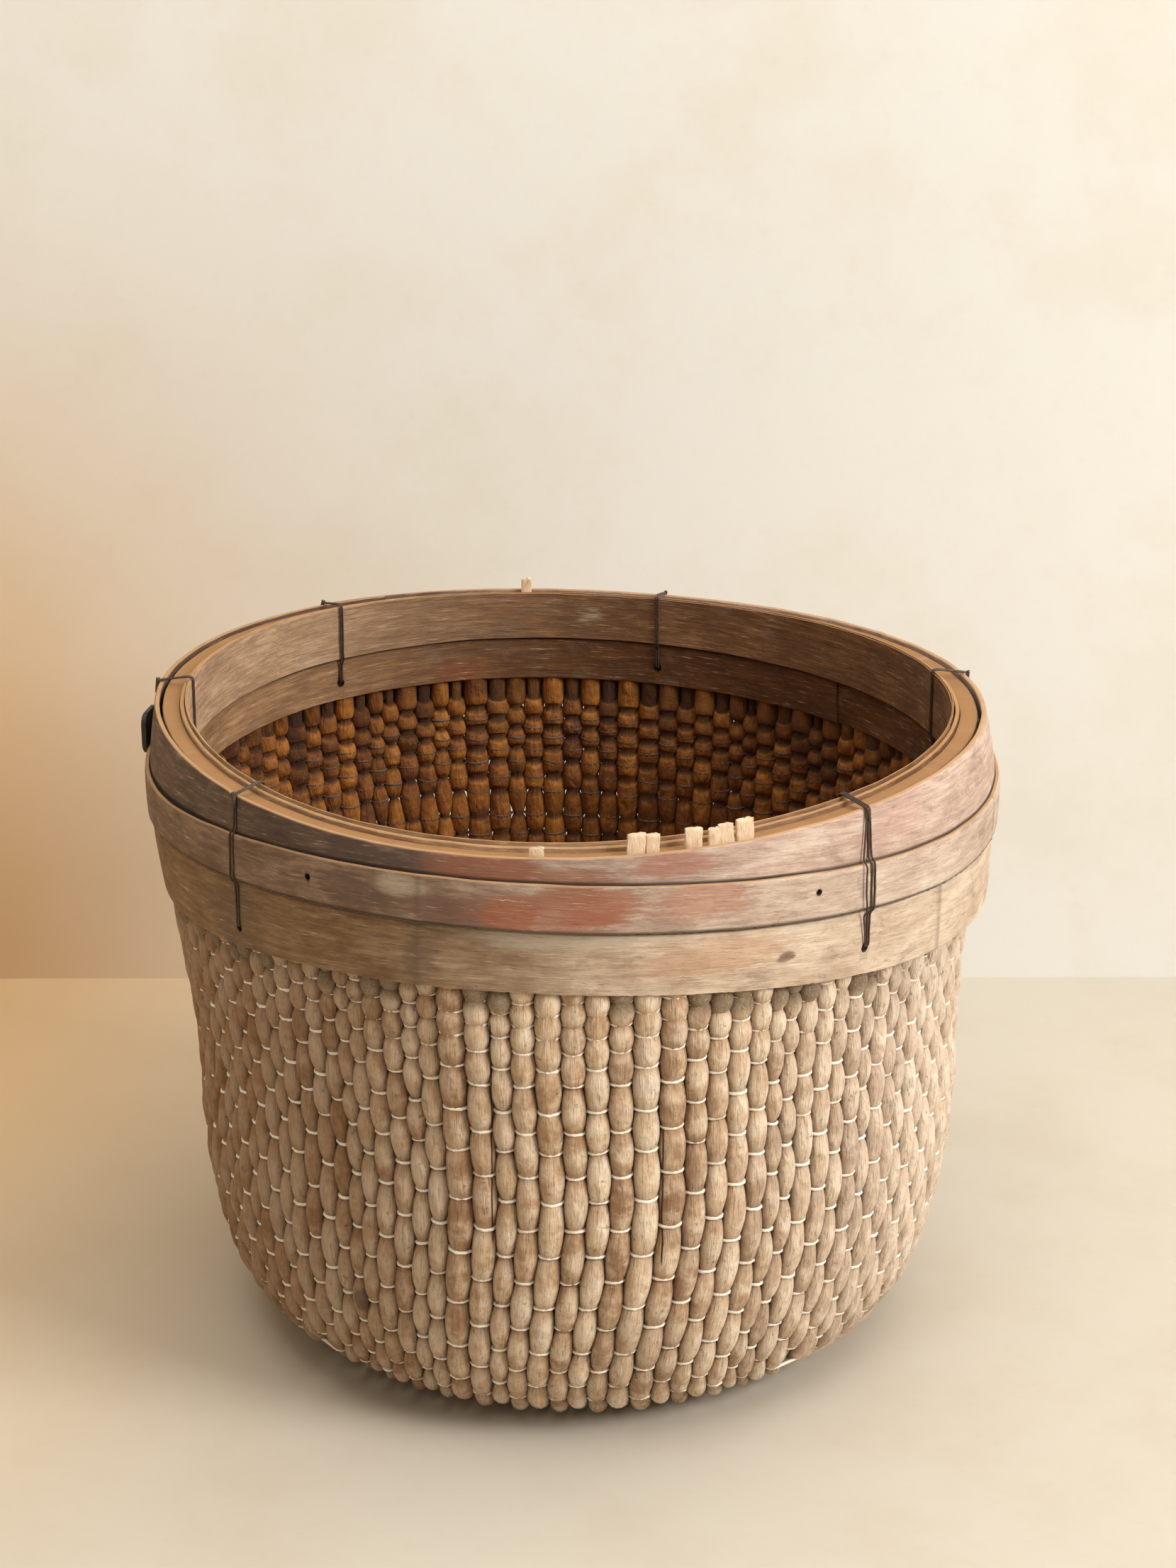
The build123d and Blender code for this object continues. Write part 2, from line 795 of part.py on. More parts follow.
floor_rows = []
for row in range(floor_row_count):
    y = (row - (floor_row_count - 1) / 2) * floor_row_spacing
    circles = []
    for i in range(long_rod_count):
        if abs(y) < abs(long_point(i, 0.0, False).Y) - floor_row_spacing / 2:
            middle, along, across, radius, outward = floor_section(i, y, phase_at(i, row))
            circles.append((floor_xs[i], middle.Z, radius + thread_room / 2, phase_at(i, row)))
    middle = warp(Vector(0, y, 0))
    right, behind = warp(Vector(floor_row_spacing, y, 0)), warp(Vector(0, y + floor_row_spacing, 0))
    floor_plane = Plane(origin=middle, x_dir=right - middle, z_dir=middle - behind)
    floor_rows.append(make_thread([(x, z, r, -side) for x, z, r, side in circles], floor_plane))
write(floor_rows, "floor_threads")

# Rim strips, outside and inside, and the lath that closes the top between them
tie_places = {name: rod_gap_angle(angle) for name, angle in tie_angles.items()}
outer_holes = [(a, outer_hole_height(a), wire_hole_diameter) for a in tie_places.values()]
inner_holes = [(a, inner_bottom_line(a) + wire_hole_rise, wire_hole_diameter) for a in tie_places.values()]
nail_holes = [(a, middle_line(a), nail_hole_diameter) for a in nail_hole_angles]
top = make_strip(
    outer_seat_radius, outer_strip_thickness, lambda a: middle_line(a) + strip_gap, rim_top, lap_angles[0],
)
write([top], "outer_strip_top")
middle = make_strip(
    middle_seat_radius, middle_strip_thickness, lambda a: middle_line(a) - middle_strip_width / 2,
    lambda a: middle_line(a) + middle_strip_width / 2, lap_angles[1],
)
write([cut_holes(middle, nail_holes)], "outer_strip_middle")
bottom = make_strip(
    outer_seat_radius, outer_strip_thickness, bottom_line, lambda a: middle_line(a) - strip_gap, lap_angles[2]
)
write([cut_holes(bottom, outer_holes)], "outer_strip_bottom")
inner_top = make_strip(
    inner_seat_radius - inner_strip_thickness, inner_strip_thickness, lambda a: inner_ply_line(a) + ply_cover,
    rim_top, lap_angles[3],
)
write([inner_top], "inner_strip_top")
inner_bottom = make_strip(
    inner_seat_radius - inner_strip_thickness, inner_strip_thickness, inner_bottom_line,
    lambda a: inner_ply_line(a) + ply_cover - strip_gap, lap_angles[4],
)
write([cut_holes(inner_bottom, inner_holes)], "inner_strip_bottom")
ply = make_strip(
    ply_seat_radius - inner_ply_thickness, inner_ply_thickness, inner_ply_line,
    lambda a: basket_height + inner_rise, lap_angles[5],
)
write([ply], "inner_lining_ply")
filler = make_strip(
    inner_seat_radius + strip_gap, filler_width, lambda a: basket_height - filler_drop - filler_thickness,
    lambda a: basket_height - filler_drop, lap_angles[6],
)
write([filler], "rim_filler")

# Wire ties, the plate on one of them, and the slips pushed in at the rim
for name, angle in tie_places.items():
    write([Compound(make_tie(angle))], "wire_tie_" + name)
write([make_tag(tie_places["left"])], "rim_plate")
write([make_wedge(angle, rise) for angle, rise in zip(wedge_angles, wedge_rises)], "rim_slips")
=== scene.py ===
# %% [markdown]
# # A round grain basket
# Peeled willow rods stand side by side, stitched together with white twine, and bent bamboo strips
# bind the rim. The CAD part gives the frame that everything is placed in: metres, +Z up, front at -Y.
# We load it first and keep its parts.

# %% Load the frame
import json
import random
from functools import cache
from math import asin, atan2, ceil, cos, degrees, exp, hypot, pi, radians, sin, sqrt

import bmesh
import bpy
import numpy as np
from mathutils import Matrix, Vector, noise

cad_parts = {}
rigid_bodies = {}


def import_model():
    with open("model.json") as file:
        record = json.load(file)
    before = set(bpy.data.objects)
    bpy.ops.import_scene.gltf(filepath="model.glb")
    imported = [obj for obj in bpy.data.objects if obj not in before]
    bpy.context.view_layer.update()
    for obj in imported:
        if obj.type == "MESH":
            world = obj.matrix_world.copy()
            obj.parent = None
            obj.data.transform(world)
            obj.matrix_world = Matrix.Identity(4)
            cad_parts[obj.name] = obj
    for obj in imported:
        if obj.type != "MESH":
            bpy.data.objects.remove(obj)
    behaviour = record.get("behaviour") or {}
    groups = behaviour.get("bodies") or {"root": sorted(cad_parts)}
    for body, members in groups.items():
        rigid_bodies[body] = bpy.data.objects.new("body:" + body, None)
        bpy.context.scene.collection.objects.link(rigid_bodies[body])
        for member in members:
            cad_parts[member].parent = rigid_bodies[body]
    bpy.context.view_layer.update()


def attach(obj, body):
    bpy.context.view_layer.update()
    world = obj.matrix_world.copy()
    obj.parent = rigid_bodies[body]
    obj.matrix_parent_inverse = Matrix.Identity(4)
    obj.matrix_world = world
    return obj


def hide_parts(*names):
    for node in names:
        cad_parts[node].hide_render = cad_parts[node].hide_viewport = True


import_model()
mm = 0.001

# %% [markdown]
# ## The sizes of the basket
# The rods follow one line from the floor up to the rim, which is drawn out of round and set a little
# off the foot. These are the same sizes and rules as in the part's source, in millimetres, because a
# thread only sits in its groove when both are worked out from the same numbers.

# %% Sizes, in millimetres
rim_radius = 190.0
basket_height = 298.0
floor_radius = 119.0
floor_line_height = 4.8
wall_place_shares = [
    (0.705, 0.027), (0.774, 0.055), (0.842, 0.113), (0.889, 0.206),
    (0.925, 0.344), (0.934, 0.500), (0.949, 0.660), (0.960, 0.780),
]
long_rod_count = 27
side_rod_count = 33
long_rod_width_shares = [
    1.02, 0.97, 0.86, 0.76, 0.82, 0.97, 0.94, 0.80, 0.90, 1.20, 1.10, 0.90, 1.02, 1.12,
    1.02, 1.02, 1.05, 1.20, 1.20, 1.05, 1.02, 1.06, 1.02, 0.82, 0.82, 1.05, 1.10,
]
side_width_shares = [1 + 0.13 * sin(2.4 * j) for j in range(side_rod_count)]
wall_row_shares = [
    0.815, 0.795, 0.776, 0.758, 0.741, 0.721, 0.698, 0.671, 0.644, 0.601, 0.567, 0.534,
    0.493, 0.451, 0.403, 0.359, 0.312, 0.265, 0.225, 0.178, 0.141, 0.107, 0.070, 0.034,
]
unthreaded_row_count = 2
lowest_ring_height = 20.0
floor_row_spacing = 13.5
floor_row_count = 15
bead_depth = 0.35
left_dent = 5.0
crossing_offset = 0.65
thread_room = 1.3
rod_line_radius = 183.3
rod_top_height = 291.0
rim_shift = Vector((-6.4, -4.5, 0))
foot_centre = Vector((6.9, 9.5, 0))
rim_centre = foot_centre + rim_shift
rim_blend_height = 210.0
rod_angle = 2 * pi / (2 * (long_rod_count + side_rod_count))
print("rods round the rim", 2 * (long_rod_count + side_rod_count), "rows", len(wall_row_shares))

# %% [markdown]
# ## The line of the wall
# A cubic spline with the floor's and the rim's directions at its ends passes through ten measured
# points. We sample it evenly by length, so a share of 0 to 1 can be looked up quickly.

# %% Wall line


def clamped_spline(points, first_tangent, last_tangent, steps):
    """Sample a smooth curve through the points, spaced evenly along its length."""
    points = np.array(points, float)
    gaps = np.linalg.norm(np.diff(points, axis=0), axis=1)
    count = len(points)
    matrix, right = np.zeros((count, count)), np.zeros((count, 2))
    matrix[0, 0] = matrix[-1, -1] = 1
    right[0], right[-1] = first_tangent, last_tangent
    for i in range(1, count - 1):
        before, after = gaps[i - 1], gaps[i]
        matrix[i, i - 1], matrix[i, i], matrix[i, i + 1] = after, 2 * (before + after), before
        slope_before = (points[i] - points[i - 1]) / before
        slope_after = (points[i + 1] - points[i]) / after
        right[i] = 3 * (after * slope_before + before * slope_after)
    slopes = np.linalg.solve(matrix, right)
    fine = []
    for i, gap in enumerate(gaps):
        for t in np.linspace(0, 1, 60, endpoint=False):
            fine.append(
                (1 + 2 * t) * (1 - t) ** 2 * points[i] + t * (1 - t) ** 2 * gap * slopes[i]
                + t * t * (3 - 2 * t) * points[i + 1] + t * t * (t - 1) * gap * slopes[i + 1]
            )
    fine = np.array(fine + [points[-1]])
    run = np.concatenate([[0], np.cumsum(np.linalg.norm(np.diff(fine, axis=0), axis=1))])
    places = np.linspace(0, run[-1], steps + 1)
    return np.stack([np.interp(places, run, fine[:, 0]), np.interp(places, run, fine[:, 1])], axis=1)


samples = 600
wall_points = clamped_spline(
    [(floor_radius, floor_line_height)]
    + [(r * rim_radius, h * basket_height) for r, h in wall_place_shares]
    + [(rod_line_radius, rod_top_height)],
    (1, 0), (0, 1), samples,
)
print("wall line from", wall_points[0], "to", wall_points[-1])


# %% [markdown]
# Nearly every shape below eases from one number to another. Two tiny helpers do that, and two more
# look up the wall's line: where it is at a share of its length, and which share has a given height.

# %% Easing, and looking up the wall


def smooth(value):
    value = min(max(value, 0.0), 1.0)
    return value * value * (3 - 2 * value)


def mix(a, b, share):
    return a + (b - a) * share


@cache
def wall_at(share):
    place = min(max(share, 0.0), 1.0) * samples
    i = min(int(place), samples - 1)
    low, high = wall_points[i], wall_points[i + 1]
    return mix(low[0], high[0], place - i), mix(low[1], high[1], place - i)


def share_at_height(height):
    return float(np.interp(height, wall_points[:, 1], np.linspace(0, 1, samples + 1)))


print("half way up the wall:", wall_at(0.5))

# %% [markdown]
# Years of use have pushed the real rim out of round, turned it a little against the foot and dented
# the wall at the left. We first build everything round, and then move each point by one rule, so
# that rods, twine and strips all follow the same bends. Two cosine waves are enough for the rim.

# %% Out of round


def rim_shape(angle):
    return 1 + 0.020 * cos(2 * (angle - radians(-40))) + 0.034 * cos(3 * (angle - radians(19.4)))


def rim_place(angle, radius, height):
    reach = radius * rim_shape(angle)
    return Vector((reach * cos(angle), reach * sin(angle), height)) + rim_centre


def near_angle(angle, middle, width):
    """1 at an angle given in degrees, fading away on both sides of it."""
    apart = (angle - radians(middle) + pi) % (2 * pi) - pi
    return exp(-(apart / radians(width)) ** 2)


def mound(value, low, top, high):
    """0 at low and at high, easing to 1 at the top between them."""
    return smooth((value - low) / (top - low)) * (1 - smooth((value - top) / (high - top)))


def stand_off(angle, height):
    """How far the outer strips bulge out from the wall, mostly at the two sides."""
    right = float(np.interp(height, (215, 240, 265, 280, 298), (5.0, 5.6, 6.2, 4.6, 1.2)))
    left = float(np.interp(height, (214, 240, 265, 280, 298), (0.2, 4.0, 4.4, 3.4, 1.0)))
    return right * near_angle(angle, -4, 42) + left * near_angle(angle, 176, 36)


def warp(point):
    """Turn the foot against the rim, and draw the round rim out of round."""
    turn = -radians(5) * (1 - smooth(point.z / 150.0))
    x = point.x * cos(turn) - point.y * sin(turn)
    y = point.x * sin(turn) + point.y * cos(turn)
    blend = smooth(point.z / rim_blend_height)
    swell = mix(1.0, rim_shape(atan2(y, x)), blend)
    dented = near_angle(atan2(y, x), 178, 34) * mound(point.z, 45.0, 130.0, 215.0)
    dent = 1 - left_dent / rim_radius * dented
    return Vector((x * swell * dent, y * swell * dent, point.z)) + foot_centre + rim_shift * blend


print("rim's reach from", round(min(rim_shape(radians(a)) for a in range(360)), 3),
      "to", round(max(rim_shape(radians(a)) for a in range(360)), 3))


# %% [markdown]
# ## Where each rod runs
# The long rods run down the front, across the floor and up the back. The others stand at the sides
# and end against the outermost long rods. We first say where each rod's middle line runs.

# %% Places of the rods


def cumulated(widths):
    edge, places = -sum(widths) / 2, []
    for width in widths:
        places.append(edge + width / 2)
        edge += width
    return places


long_places, side_places = cumulated(long_rod_width_shares), cumulated(side_width_shares)
side_room = sum(side_width_shares) / 2 + long_rod_width_shares[0] / 2
nudge = 0.002
floor_reach, floor_spread, floor_easing_height = 150.0, 1.07, 60.0


def long_angle(i):
    return long_places[i] / sum(long_rod_width_shares) * long_rod_count * rod_angle


@cache
def long_x(i, share):
    radius, height = wall_at(share)
    on_floor, on_wall = floor_reach * sin(long_angle(i) * floor_spread), radius * sin(long_angle(i))
    return mix(on_floor, on_wall, smooth(height / floor_easing_height))


@cache
def long_point(i, share, back):
    radius, height = wall_at(share)
    x = long_x(i, share)
    y = sqrt(max(radius * radius - x * x, 0.0))
    return Vector((x, y if back else -y, height))


print("outermost long rod on the floor at x", round(long_x(long_rod_count - 1, 0.0), 1))

# %% [markdown]
# The side rods share the room that the long rods leave on the left and the right. Towards the floor
# this room shrinks, so there they stand closer, and the last ones run out against the long rods.

# %% Places of the side rods

mean_side_width = 7.9


@cache
def side_span(share):
    radius, _ = wall_at(share)
    last = long_rod_count - 1
    angle = pi / 2 - atan2(long_x(last, share), abs(long_point(last, share, False).y))
    return angle, min(side_room, angle * radius / mean_side_width)


@cache
def side_place(j, share, left):
    radius, height = wall_at(share)
    angle, room = side_span(share)
    turn = angle * side_places[j] / room + (pi if left else 0.0)
    return warp(Vector((radius * cos(turn), radius * sin(turn), height)))


wall_rows = [share_at_height(row * basket_height) for row in wall_row_shares]
print("rows of stitches from", round(wall_rows[0], 3), "down to", round(wall_rows[-1], 3), "of the wall")

# %% [markdown]
# A rod is as thick as its neighbours let it be: its width is its share of the distance to the nearer
# one, less the room of a thread. On the floor the rods lie on their bellies, so each one's height
# follows from its own thickness.

# %% Rods across the floor


def half_width(width, distances):
    scale = min(distance / ((width + other) / 2) for distance, other in distances)
    return width * scale / 2 - thread_room / 2


floor_xs = [long_x(i, 0.0) for i in range(long_rod_count)]
floor_halves = []
for i in range(long_rod_count):
    beside = [n for n in (i - 1, i + 1) if 0 <= n < long_rod_count]
    gaps = [(abs(floor_xs[n] - floor_xs[i]), long_rod_width_shares[n]) for n in beside]
    floor_halves.append(half_width(long_rod_width_shares[i], gaps))


@cache
def long_place(i, share, back):
    point = long_point(i, share, back)
    rest = floor_halves[i] + bead_depth + crossing_offset - 0.3
    drop = (rest - floor_line_height) * (1 - smooth(point.z / 25.0))
    return warp(point + Vector((0, 0, drop)))


def floor_place(i, y):
    return warp(Vector((floor_xs[i], y, floor_halves[i] + bead_depth + crossing_offset - 0.3)))


print("half widths on the floor from", round(min(floor_halves), 2), "to", round(max(floor_halves), 2))

# %% [markdown]
# The strips of the rim don't run level. A few numbers draw such an edge: how far it is below the rim,
# how much it rises and sinks on its way round, and where it is highest.

# %% Edges of the strips


def rim_line(drop, arch, middle, angle):
    return basket_height - drop - arch * sin(angle - radians(middle)) ** 2


def middle_line(angle):
    return rim_line(20.5, 20.0, -103, angle)


def bottom_line(angle):
    return rim_line(60.0, 25.0, -100, angle)


def inner_ply_line(angle):
    return rim_line(22.0, 8.0, 87, angle)


def inner_bottom_line(angle):
    return rim_line(44.0, 8.0, 87, angle)


def below_strips(point):
    """How far a point is below the lowest edge of the outer strips."""
    return bottom_line(atan2(point.y - rim_centre.y, point.x - rim_centre.x)) - point.z


print("lowest strip's edge at the front", round(bottom_line(radians(-90)), 1))

# %% [markdown]
# A station is one slice of a rod: its middle, the way that is outwards there, its radius and its
# direction. Where the twine passes outside, the rod is pressed in and thin, and one row further it is
# pressed out and thick. This zigzag is what makes the wall look beaded.

# %% A station on a long rod


def phase_at(k, row):
    """-1 where the thread of this row passes outside rod k, and 1 where it passes inside."""
    return -1 if (k + row) % 2 == 0 else 1


def gap_across(one, other, heading):
    apart = other - one
    return (apart - heading * apart.dot(heading)).length


@cache
def long_heading(i, share, back):
    upper = long_place(i, min(share + nudge, 1.0), back)
    lower = long_place(i, max(share - nudge, 0.0), back)
    return (upper - lower if back else lower - upper).normalized()


@cache
def long_half(i, share, back):
    middle, along = long_place(i, share, back), long_heading(i, share, back)
    beside = [n for n in (i - 1, i + 1) if 0 <= n < long_rod_count]
    gaps = []
    for n in beside:
        gaps.append((gap_across(middle, long_place(n, share, back), along), long_rod_width_shares[n]))
    if len(beside) == 1 and side_span(share)[1] >= side_room:
        left = i == 0
        j = side_rod_count - 1 if left != back else 0
        gaps.append((gap_across(middle, side_place(j, share, left), along), side_width_shares[j]))
    return half_width(long_rod_width_shares[i], gaps)


def bead(middle, along, across, half, phase):
    """Middle, outward direction and radius of a rod at a station; under the strips it is squeezed."""
    outward = along.cross(across).normalized()
    phase = phase * mix(1.0, 0.5, smooth(-below_strips(middle) / 10.0))
    return middle + outward * (crossing_offset * phase), outward, half + bead_depth * phase, along


def long_station(i, share, back, phase):
    beside = [n for n in (i - 1, i + 1) if 0 <= n < long_rod_count]
    middle, along = long_place(i, share, back), long_heading(i, share, back)
    first = beside[0] if beside[0] < i else i
    last = beside[-1] if beside[-1] > i else i
    across = (long_place(last, share, back) - long_place(first, share, back)).normalized()
    return bead(middle, along, across, long_half(i, share, back), phase)


def floor_station(i, y, phase):
    along = (floor_place(i, y + 0.5) - floor_place(i, y)).normalized()
    return bead(floor_place(i, y), along, along.cross(Vector((0, 0, 1))), floor_halves[i], phase)


print("a front rod's radius half way up", round(long_station(13, 0.5, False, 0)[2], 2))

# %% [markdown]
# A side rod is limited by the long rods as well. Where it gets closer to one of them than it is
# thick, it grows thin, and where less than a millimetre is left, it ends.

# %% A station on a side rod


@cache
def side_reach(j, share, left):
    i = 0 if left else long_rod_count - 1
    gaps = []
    for back in (False, True):
        edge, heading = long_place(i, share, back), long_heading(i, share, back)
        gap = gap_across(edge, side_place(j, share, left), heading)
        gaps.append(gap - long_half(i, share, back) - bead_depth - 0.3)
    return min(gaps)


def side_station(j, share, left, phase):
    beside = [n for n in (j - 1, j + 1) if 0 <= n < side_rod_count]
    middle = side_place(j, share, left)
    upper = side_place(j, min(share + nudge, 1.0), left)
    lower = side_place(j, max(share - nudge, 0.0), left)
    along = (lower - upper).normalized()
    gaps = [(gap_across(middle, side_place(n, share, left), along), side_width_shares[n]) for n in beside]
    if len(beside) == 1 and side_span(share)[1] >= side_room:
        i = 0 if left else long_rod_count - 1
        back = (j == 0) == left
        gaps.append((gap_across(middle, long_place(i, share, back), along), long_rod_width_shares[i]))
    first = beside[0] if beside[0] < j else j
    last = beside[-1] if beside[-1] > j else j
    across = (side_place(last, share, left) - side_place(first, share, left)).normalized()
    half = half_width(side_width_shares[j], gaps)
    middle, outward, radius, along = bead(middle, along, across, half, phase)
    return middle, outward, min(radius, side_reach(j, share, left)), along


@cache
def rod_end_share(j, left):
    share = wall_rows[-6]
    while share > 0 and side_reach(j, share - nudge, left) > 1.2:
        share -= nudge
    return max(share, 0.0)


print("side rods that reach the floor", sum(rod_end_share(j, False) == 0 for j in range(side_rod_count)))

# %% [markdown]
# Each rod is stitched at every second row, where it is drawn in, and swells between its stitches.
# We list the stations of each rod from top to end, with a phase that says which of the two it is.

# %% Stations of the rods


def wall_stations(station, k, lowest):
    stations = [station(1.0, 1) + (0,)]
    for row, share in enumerate(wall_rows):
        if share > lowest:
            stations.append(station(share, phase_at(k, row)) + (phase_at(k, row),))
    return stations


def foot_stations(station, lowest):
    steps = [wall_rows[-1] * step / 3 for step in (2, 1, 0)]
    return [station(share, 0) + (0,) for share in steps if share >= lowest]


def long_rod_stations(i):
    foot_y = abs(long_point(i, 0.0, False).y)
    back_k = 2 * long_rod_count + side_rod_count - 1 - i
    front = wall_stations(lambda share, phase: long_station(i, share, False, phase), i, 0.0)
    front += foot_stations(lambda share, phase: long_station(i, share, False, phase), 0.0)
    back = wall_stations(lambda share, phase: long_station(i, share, True, phase), back_k, 0.0)
    back += foot_stations(lambda share, phase: long_station(i, share, True, phase), 0.0)
    floor = []
    for row in range(floor_row_count):
        y = (row - (floor_row_count - 1) / 2) * floor_row_spacing
        if abs(y) < foot_y - floor_row_spacing / 2:
            floor.append(floor_station(i, y, phase_at(i, row)) + (phase_at(i, row),))
    return front + floor + back[::-1]


print("stations of the middle long rod", len(long_rod_stations(13)))

# %% [markdown]
# A side rod turns under at the foot and ends against the outermost long rod. We reach out from its
# last station to that rod, by what its slant and its thickness allow.

# %% Stations of a side rod


def side_rod_stations(j, left):
    k = long_rod_count + j + (long_rod_count + side_rod_count if left else 0)
    lowest = rod_end_share(j, left)

    def station(share, phase):
        return side_station(j, share, left, phase)

    stations = wall_stations(station, k, lowest + nudge)
    if lowest > 0:
        return stations + foot_stations(station, lowest + nudge) + [station(lowest, 0) + (0,)]
    stations += foot_stations(station, 0.0)
    middle, outward, radius, along, phase = stations[-1]
    i = 0 if left else long_rod_count - 1
    first, last = floor_place(i, -floor_radius), floor_place(i, floor_radius)
    line = (last - first).normalized()
    slant = abs(along.dot(line))
    room = gap_across(first, middle, line) - floor_halves[i] - bead_depth - 0.3
    reach = (room - radius * slant) / sqrt(1 - slant * slant)
    if reach > 0.3:
        stations.append((middle + along * reach, outward, radius, along, 0))
    return stations


print("stations of the middle side rod", len(side_rod_stations(16, False)))

# %% [markdown]
# Now every rod gets its list of stations, under a key that says which rod it is.

# %% All rods
rods = {}
for i in range(long_rod_count):
    rods["long", i] = long_rod_stations(i)
for left in (False, True):
    for j in range(side_rod_count):
        rods["left" if left else "right", j] = side_rod_stations(j, left)
print("rods", len(rods), "stations", sum(len(s) for s in rods.values()))

# %% [markdown]
# ## Round stock along a path
# Rods, twine and wire are all round stock that follows a path. One Geometry Nodes tree makes them:
# it turns a string of points into a curve, gives it the radius stored at each point, skins it with a
# circle and pushes the skin in and out a little with noise. The circle carries its own direction as an
# attribute, so a material can run its grain along the stock without any seam.

# %% A tree for round stock


def round_stock_tree():
    tree = bpy.data.node_groups.new("round_stock", "GeometryNodeTree")
    face = tree.interface
    face.new_socket("Path", in_out="INPUT", socket_type="NodeSocketGeometry")
    for name, kind, value in (
        ("Sides", "NodeSocketInt", 12), ("Lump Height", "NodeSocketFloat", 0.0),
        ("Lump Size", "NodeSocketFloat", 0.01), ("Seed", "NodeSocketFloat", 0.0),
        ("Material", "NodeSocketMaterial", None),
    ):
        socket = face.new_socket(name, in_out="INPUT", socket_type=kind)
        if value is not None:
            socket.default_value = value
    face.new_socket("Skin", in_out="OUTPUT", socket_type="NodeSocketGeometry")

    def node(kind, settings, *values, out=0, **named):
        """One output of a new node, whose inputs are given in order or by name."""
        made = tree.nodes.new(kind)
        for key, value in settings.items():
            setattr(made, key, value)
        inputs = list(enumerate(values)) + [(key.replace("_", " "), value) for key, value in named.items()]
        for key, value in inputs:
            if isinstance(value, bpy.types.NodeSocket):
                tree.links.new(value, made.inputs[key])
            else:
                made.inputs[key].default_value = value
        return made.outputs[out]

    given, result = tree.nodes.new("NodeGroupInput"), tree.nodes.new("NodeGroupOutput")
    asked = given.outputs
    thick = node("GeometryNodeInputNamedAttribute", {"data_type": "FLOAT"}, Name="thick")
    outward = node("GeometryNodeInputNamedAttribute", {"data_type": "FLOAT_VECTOR"}, Name="outward")
    curve = node("GeometryNodeMeshToCurve", {}, Mesh=asked["Path"])
    curve = node("GeometryNodeSetCurveRadius", {}, Curve=curve, Radius=thick)
    circle = node("GeometryNodeCurvePrimitiveCircle", {}, Resolution=asked["Sides"], Radius=1.0)
    place = node("GeometryNodeInputPosition", {})
    kept, vector = "GeometryNodeStoreNamedAttribute", {"data_type": "FLOAT_VECTOR"}
    circle = node(kept, vector, Name="around", Geometry=circle, Value=place)
    skin = node("GeometryNodeCurveToMesh", {}, Curve=curve, Profile_Curve=circle, Fill_Caps=True)
    if "Scale" in skin.node.inputs:
        tree.links.new(thick, skin.node.inputs["Scale"])
    normal = node("GeometryNodeInputNormal", {})
    # How far the skin faces out of the wall; the willow paints its shade on the flanks and the inside from
    # this.
    facing = node("ShaderNodeVectorMath", {"operation": "DOT_PRODUCT"}, normal, outward, out="Value")
    skin = node(kept, {"data_type": "FLOAT"}, Name="outside", Geometry=skin, Value=facing)
    fineness = node("ShaderNodeMath", {"operation": "DIVIDE"}, 1.0, asked["Lump Size"])
    lumps = node(
        "ShaderNodeTexNoise", {"noise_dimensions": "4D"}, Scale=fineness, W=asked["Seed"], Detail=1.5,
    )
    centred = node("ShaderNodeMath", {"operation": "SUBTRACT"}, lumps, 0.5)
    height = node("ShaderNodeMath", {"operation": "MULTIPLY"}, centred, asked["Lump Height"])
    push = node("ShaderNodeVectorMath", {"operation": "SCALE"}, normal, Scale=height)
    skin = node("GeometryNodeSetPosition", {}, Geometry=skin, Offset=push)
    skin = node("GeometryNodeSetShadeSmooth", {}, Geometry=skin)
    skin = node("GeometryNodeRealizeInstances", {}, Geometry=skin)
    skin = node("GeometryNodeSetMaterial", {}, Geometry=skin, Material=asked["Material"])
    tree.links.new(skin, result.inputs["Skin"])
    return tree


stock_tree = round_stock_tree()
print("tree", stock_tree.name, "has", len(stock_tree.nodes), "nodes")

# %% [markdown]
# The export needs plain meshes. Each object that carries the node tree is evaluated once, its result is
# copied into a mesh of its own, and the carrier is thrown away.

# %% From nodes to a plain mesh


def placed(name, data):
    """A new object in the scene, at the origin and unturned."""
    made = bpy.data.objects.new(name, data)
    bpy.context.scene.collection.objects.link(made)
    return made


def plain_mesh(name, carrier):
    """The carrier's evaluated result as an ordinary mesh object at the origin."""
    depsgraph = bpy.context.evaluated_depsgraph_get()
    mesh = bpy.data.meshes.new_from_object(carrier.evaluated_get(depsgraph), depsgraph=depsgraph)
    mesh.name = name
    piece = placed(name, mesh)
    bpy.data.objects.remove(carrier)
    return piece


print("objects so far", len(bpy.data.objects))

# %% [markdown]
# ## Shader maths as plain expressions
# A material is easier to read when its masks are written as sums and products. This small class wraps
# a socket, so that `1 - mask * 0.5` adds the Math nodes by itself. Colours go through Mix nodes.

# %% Writing materials


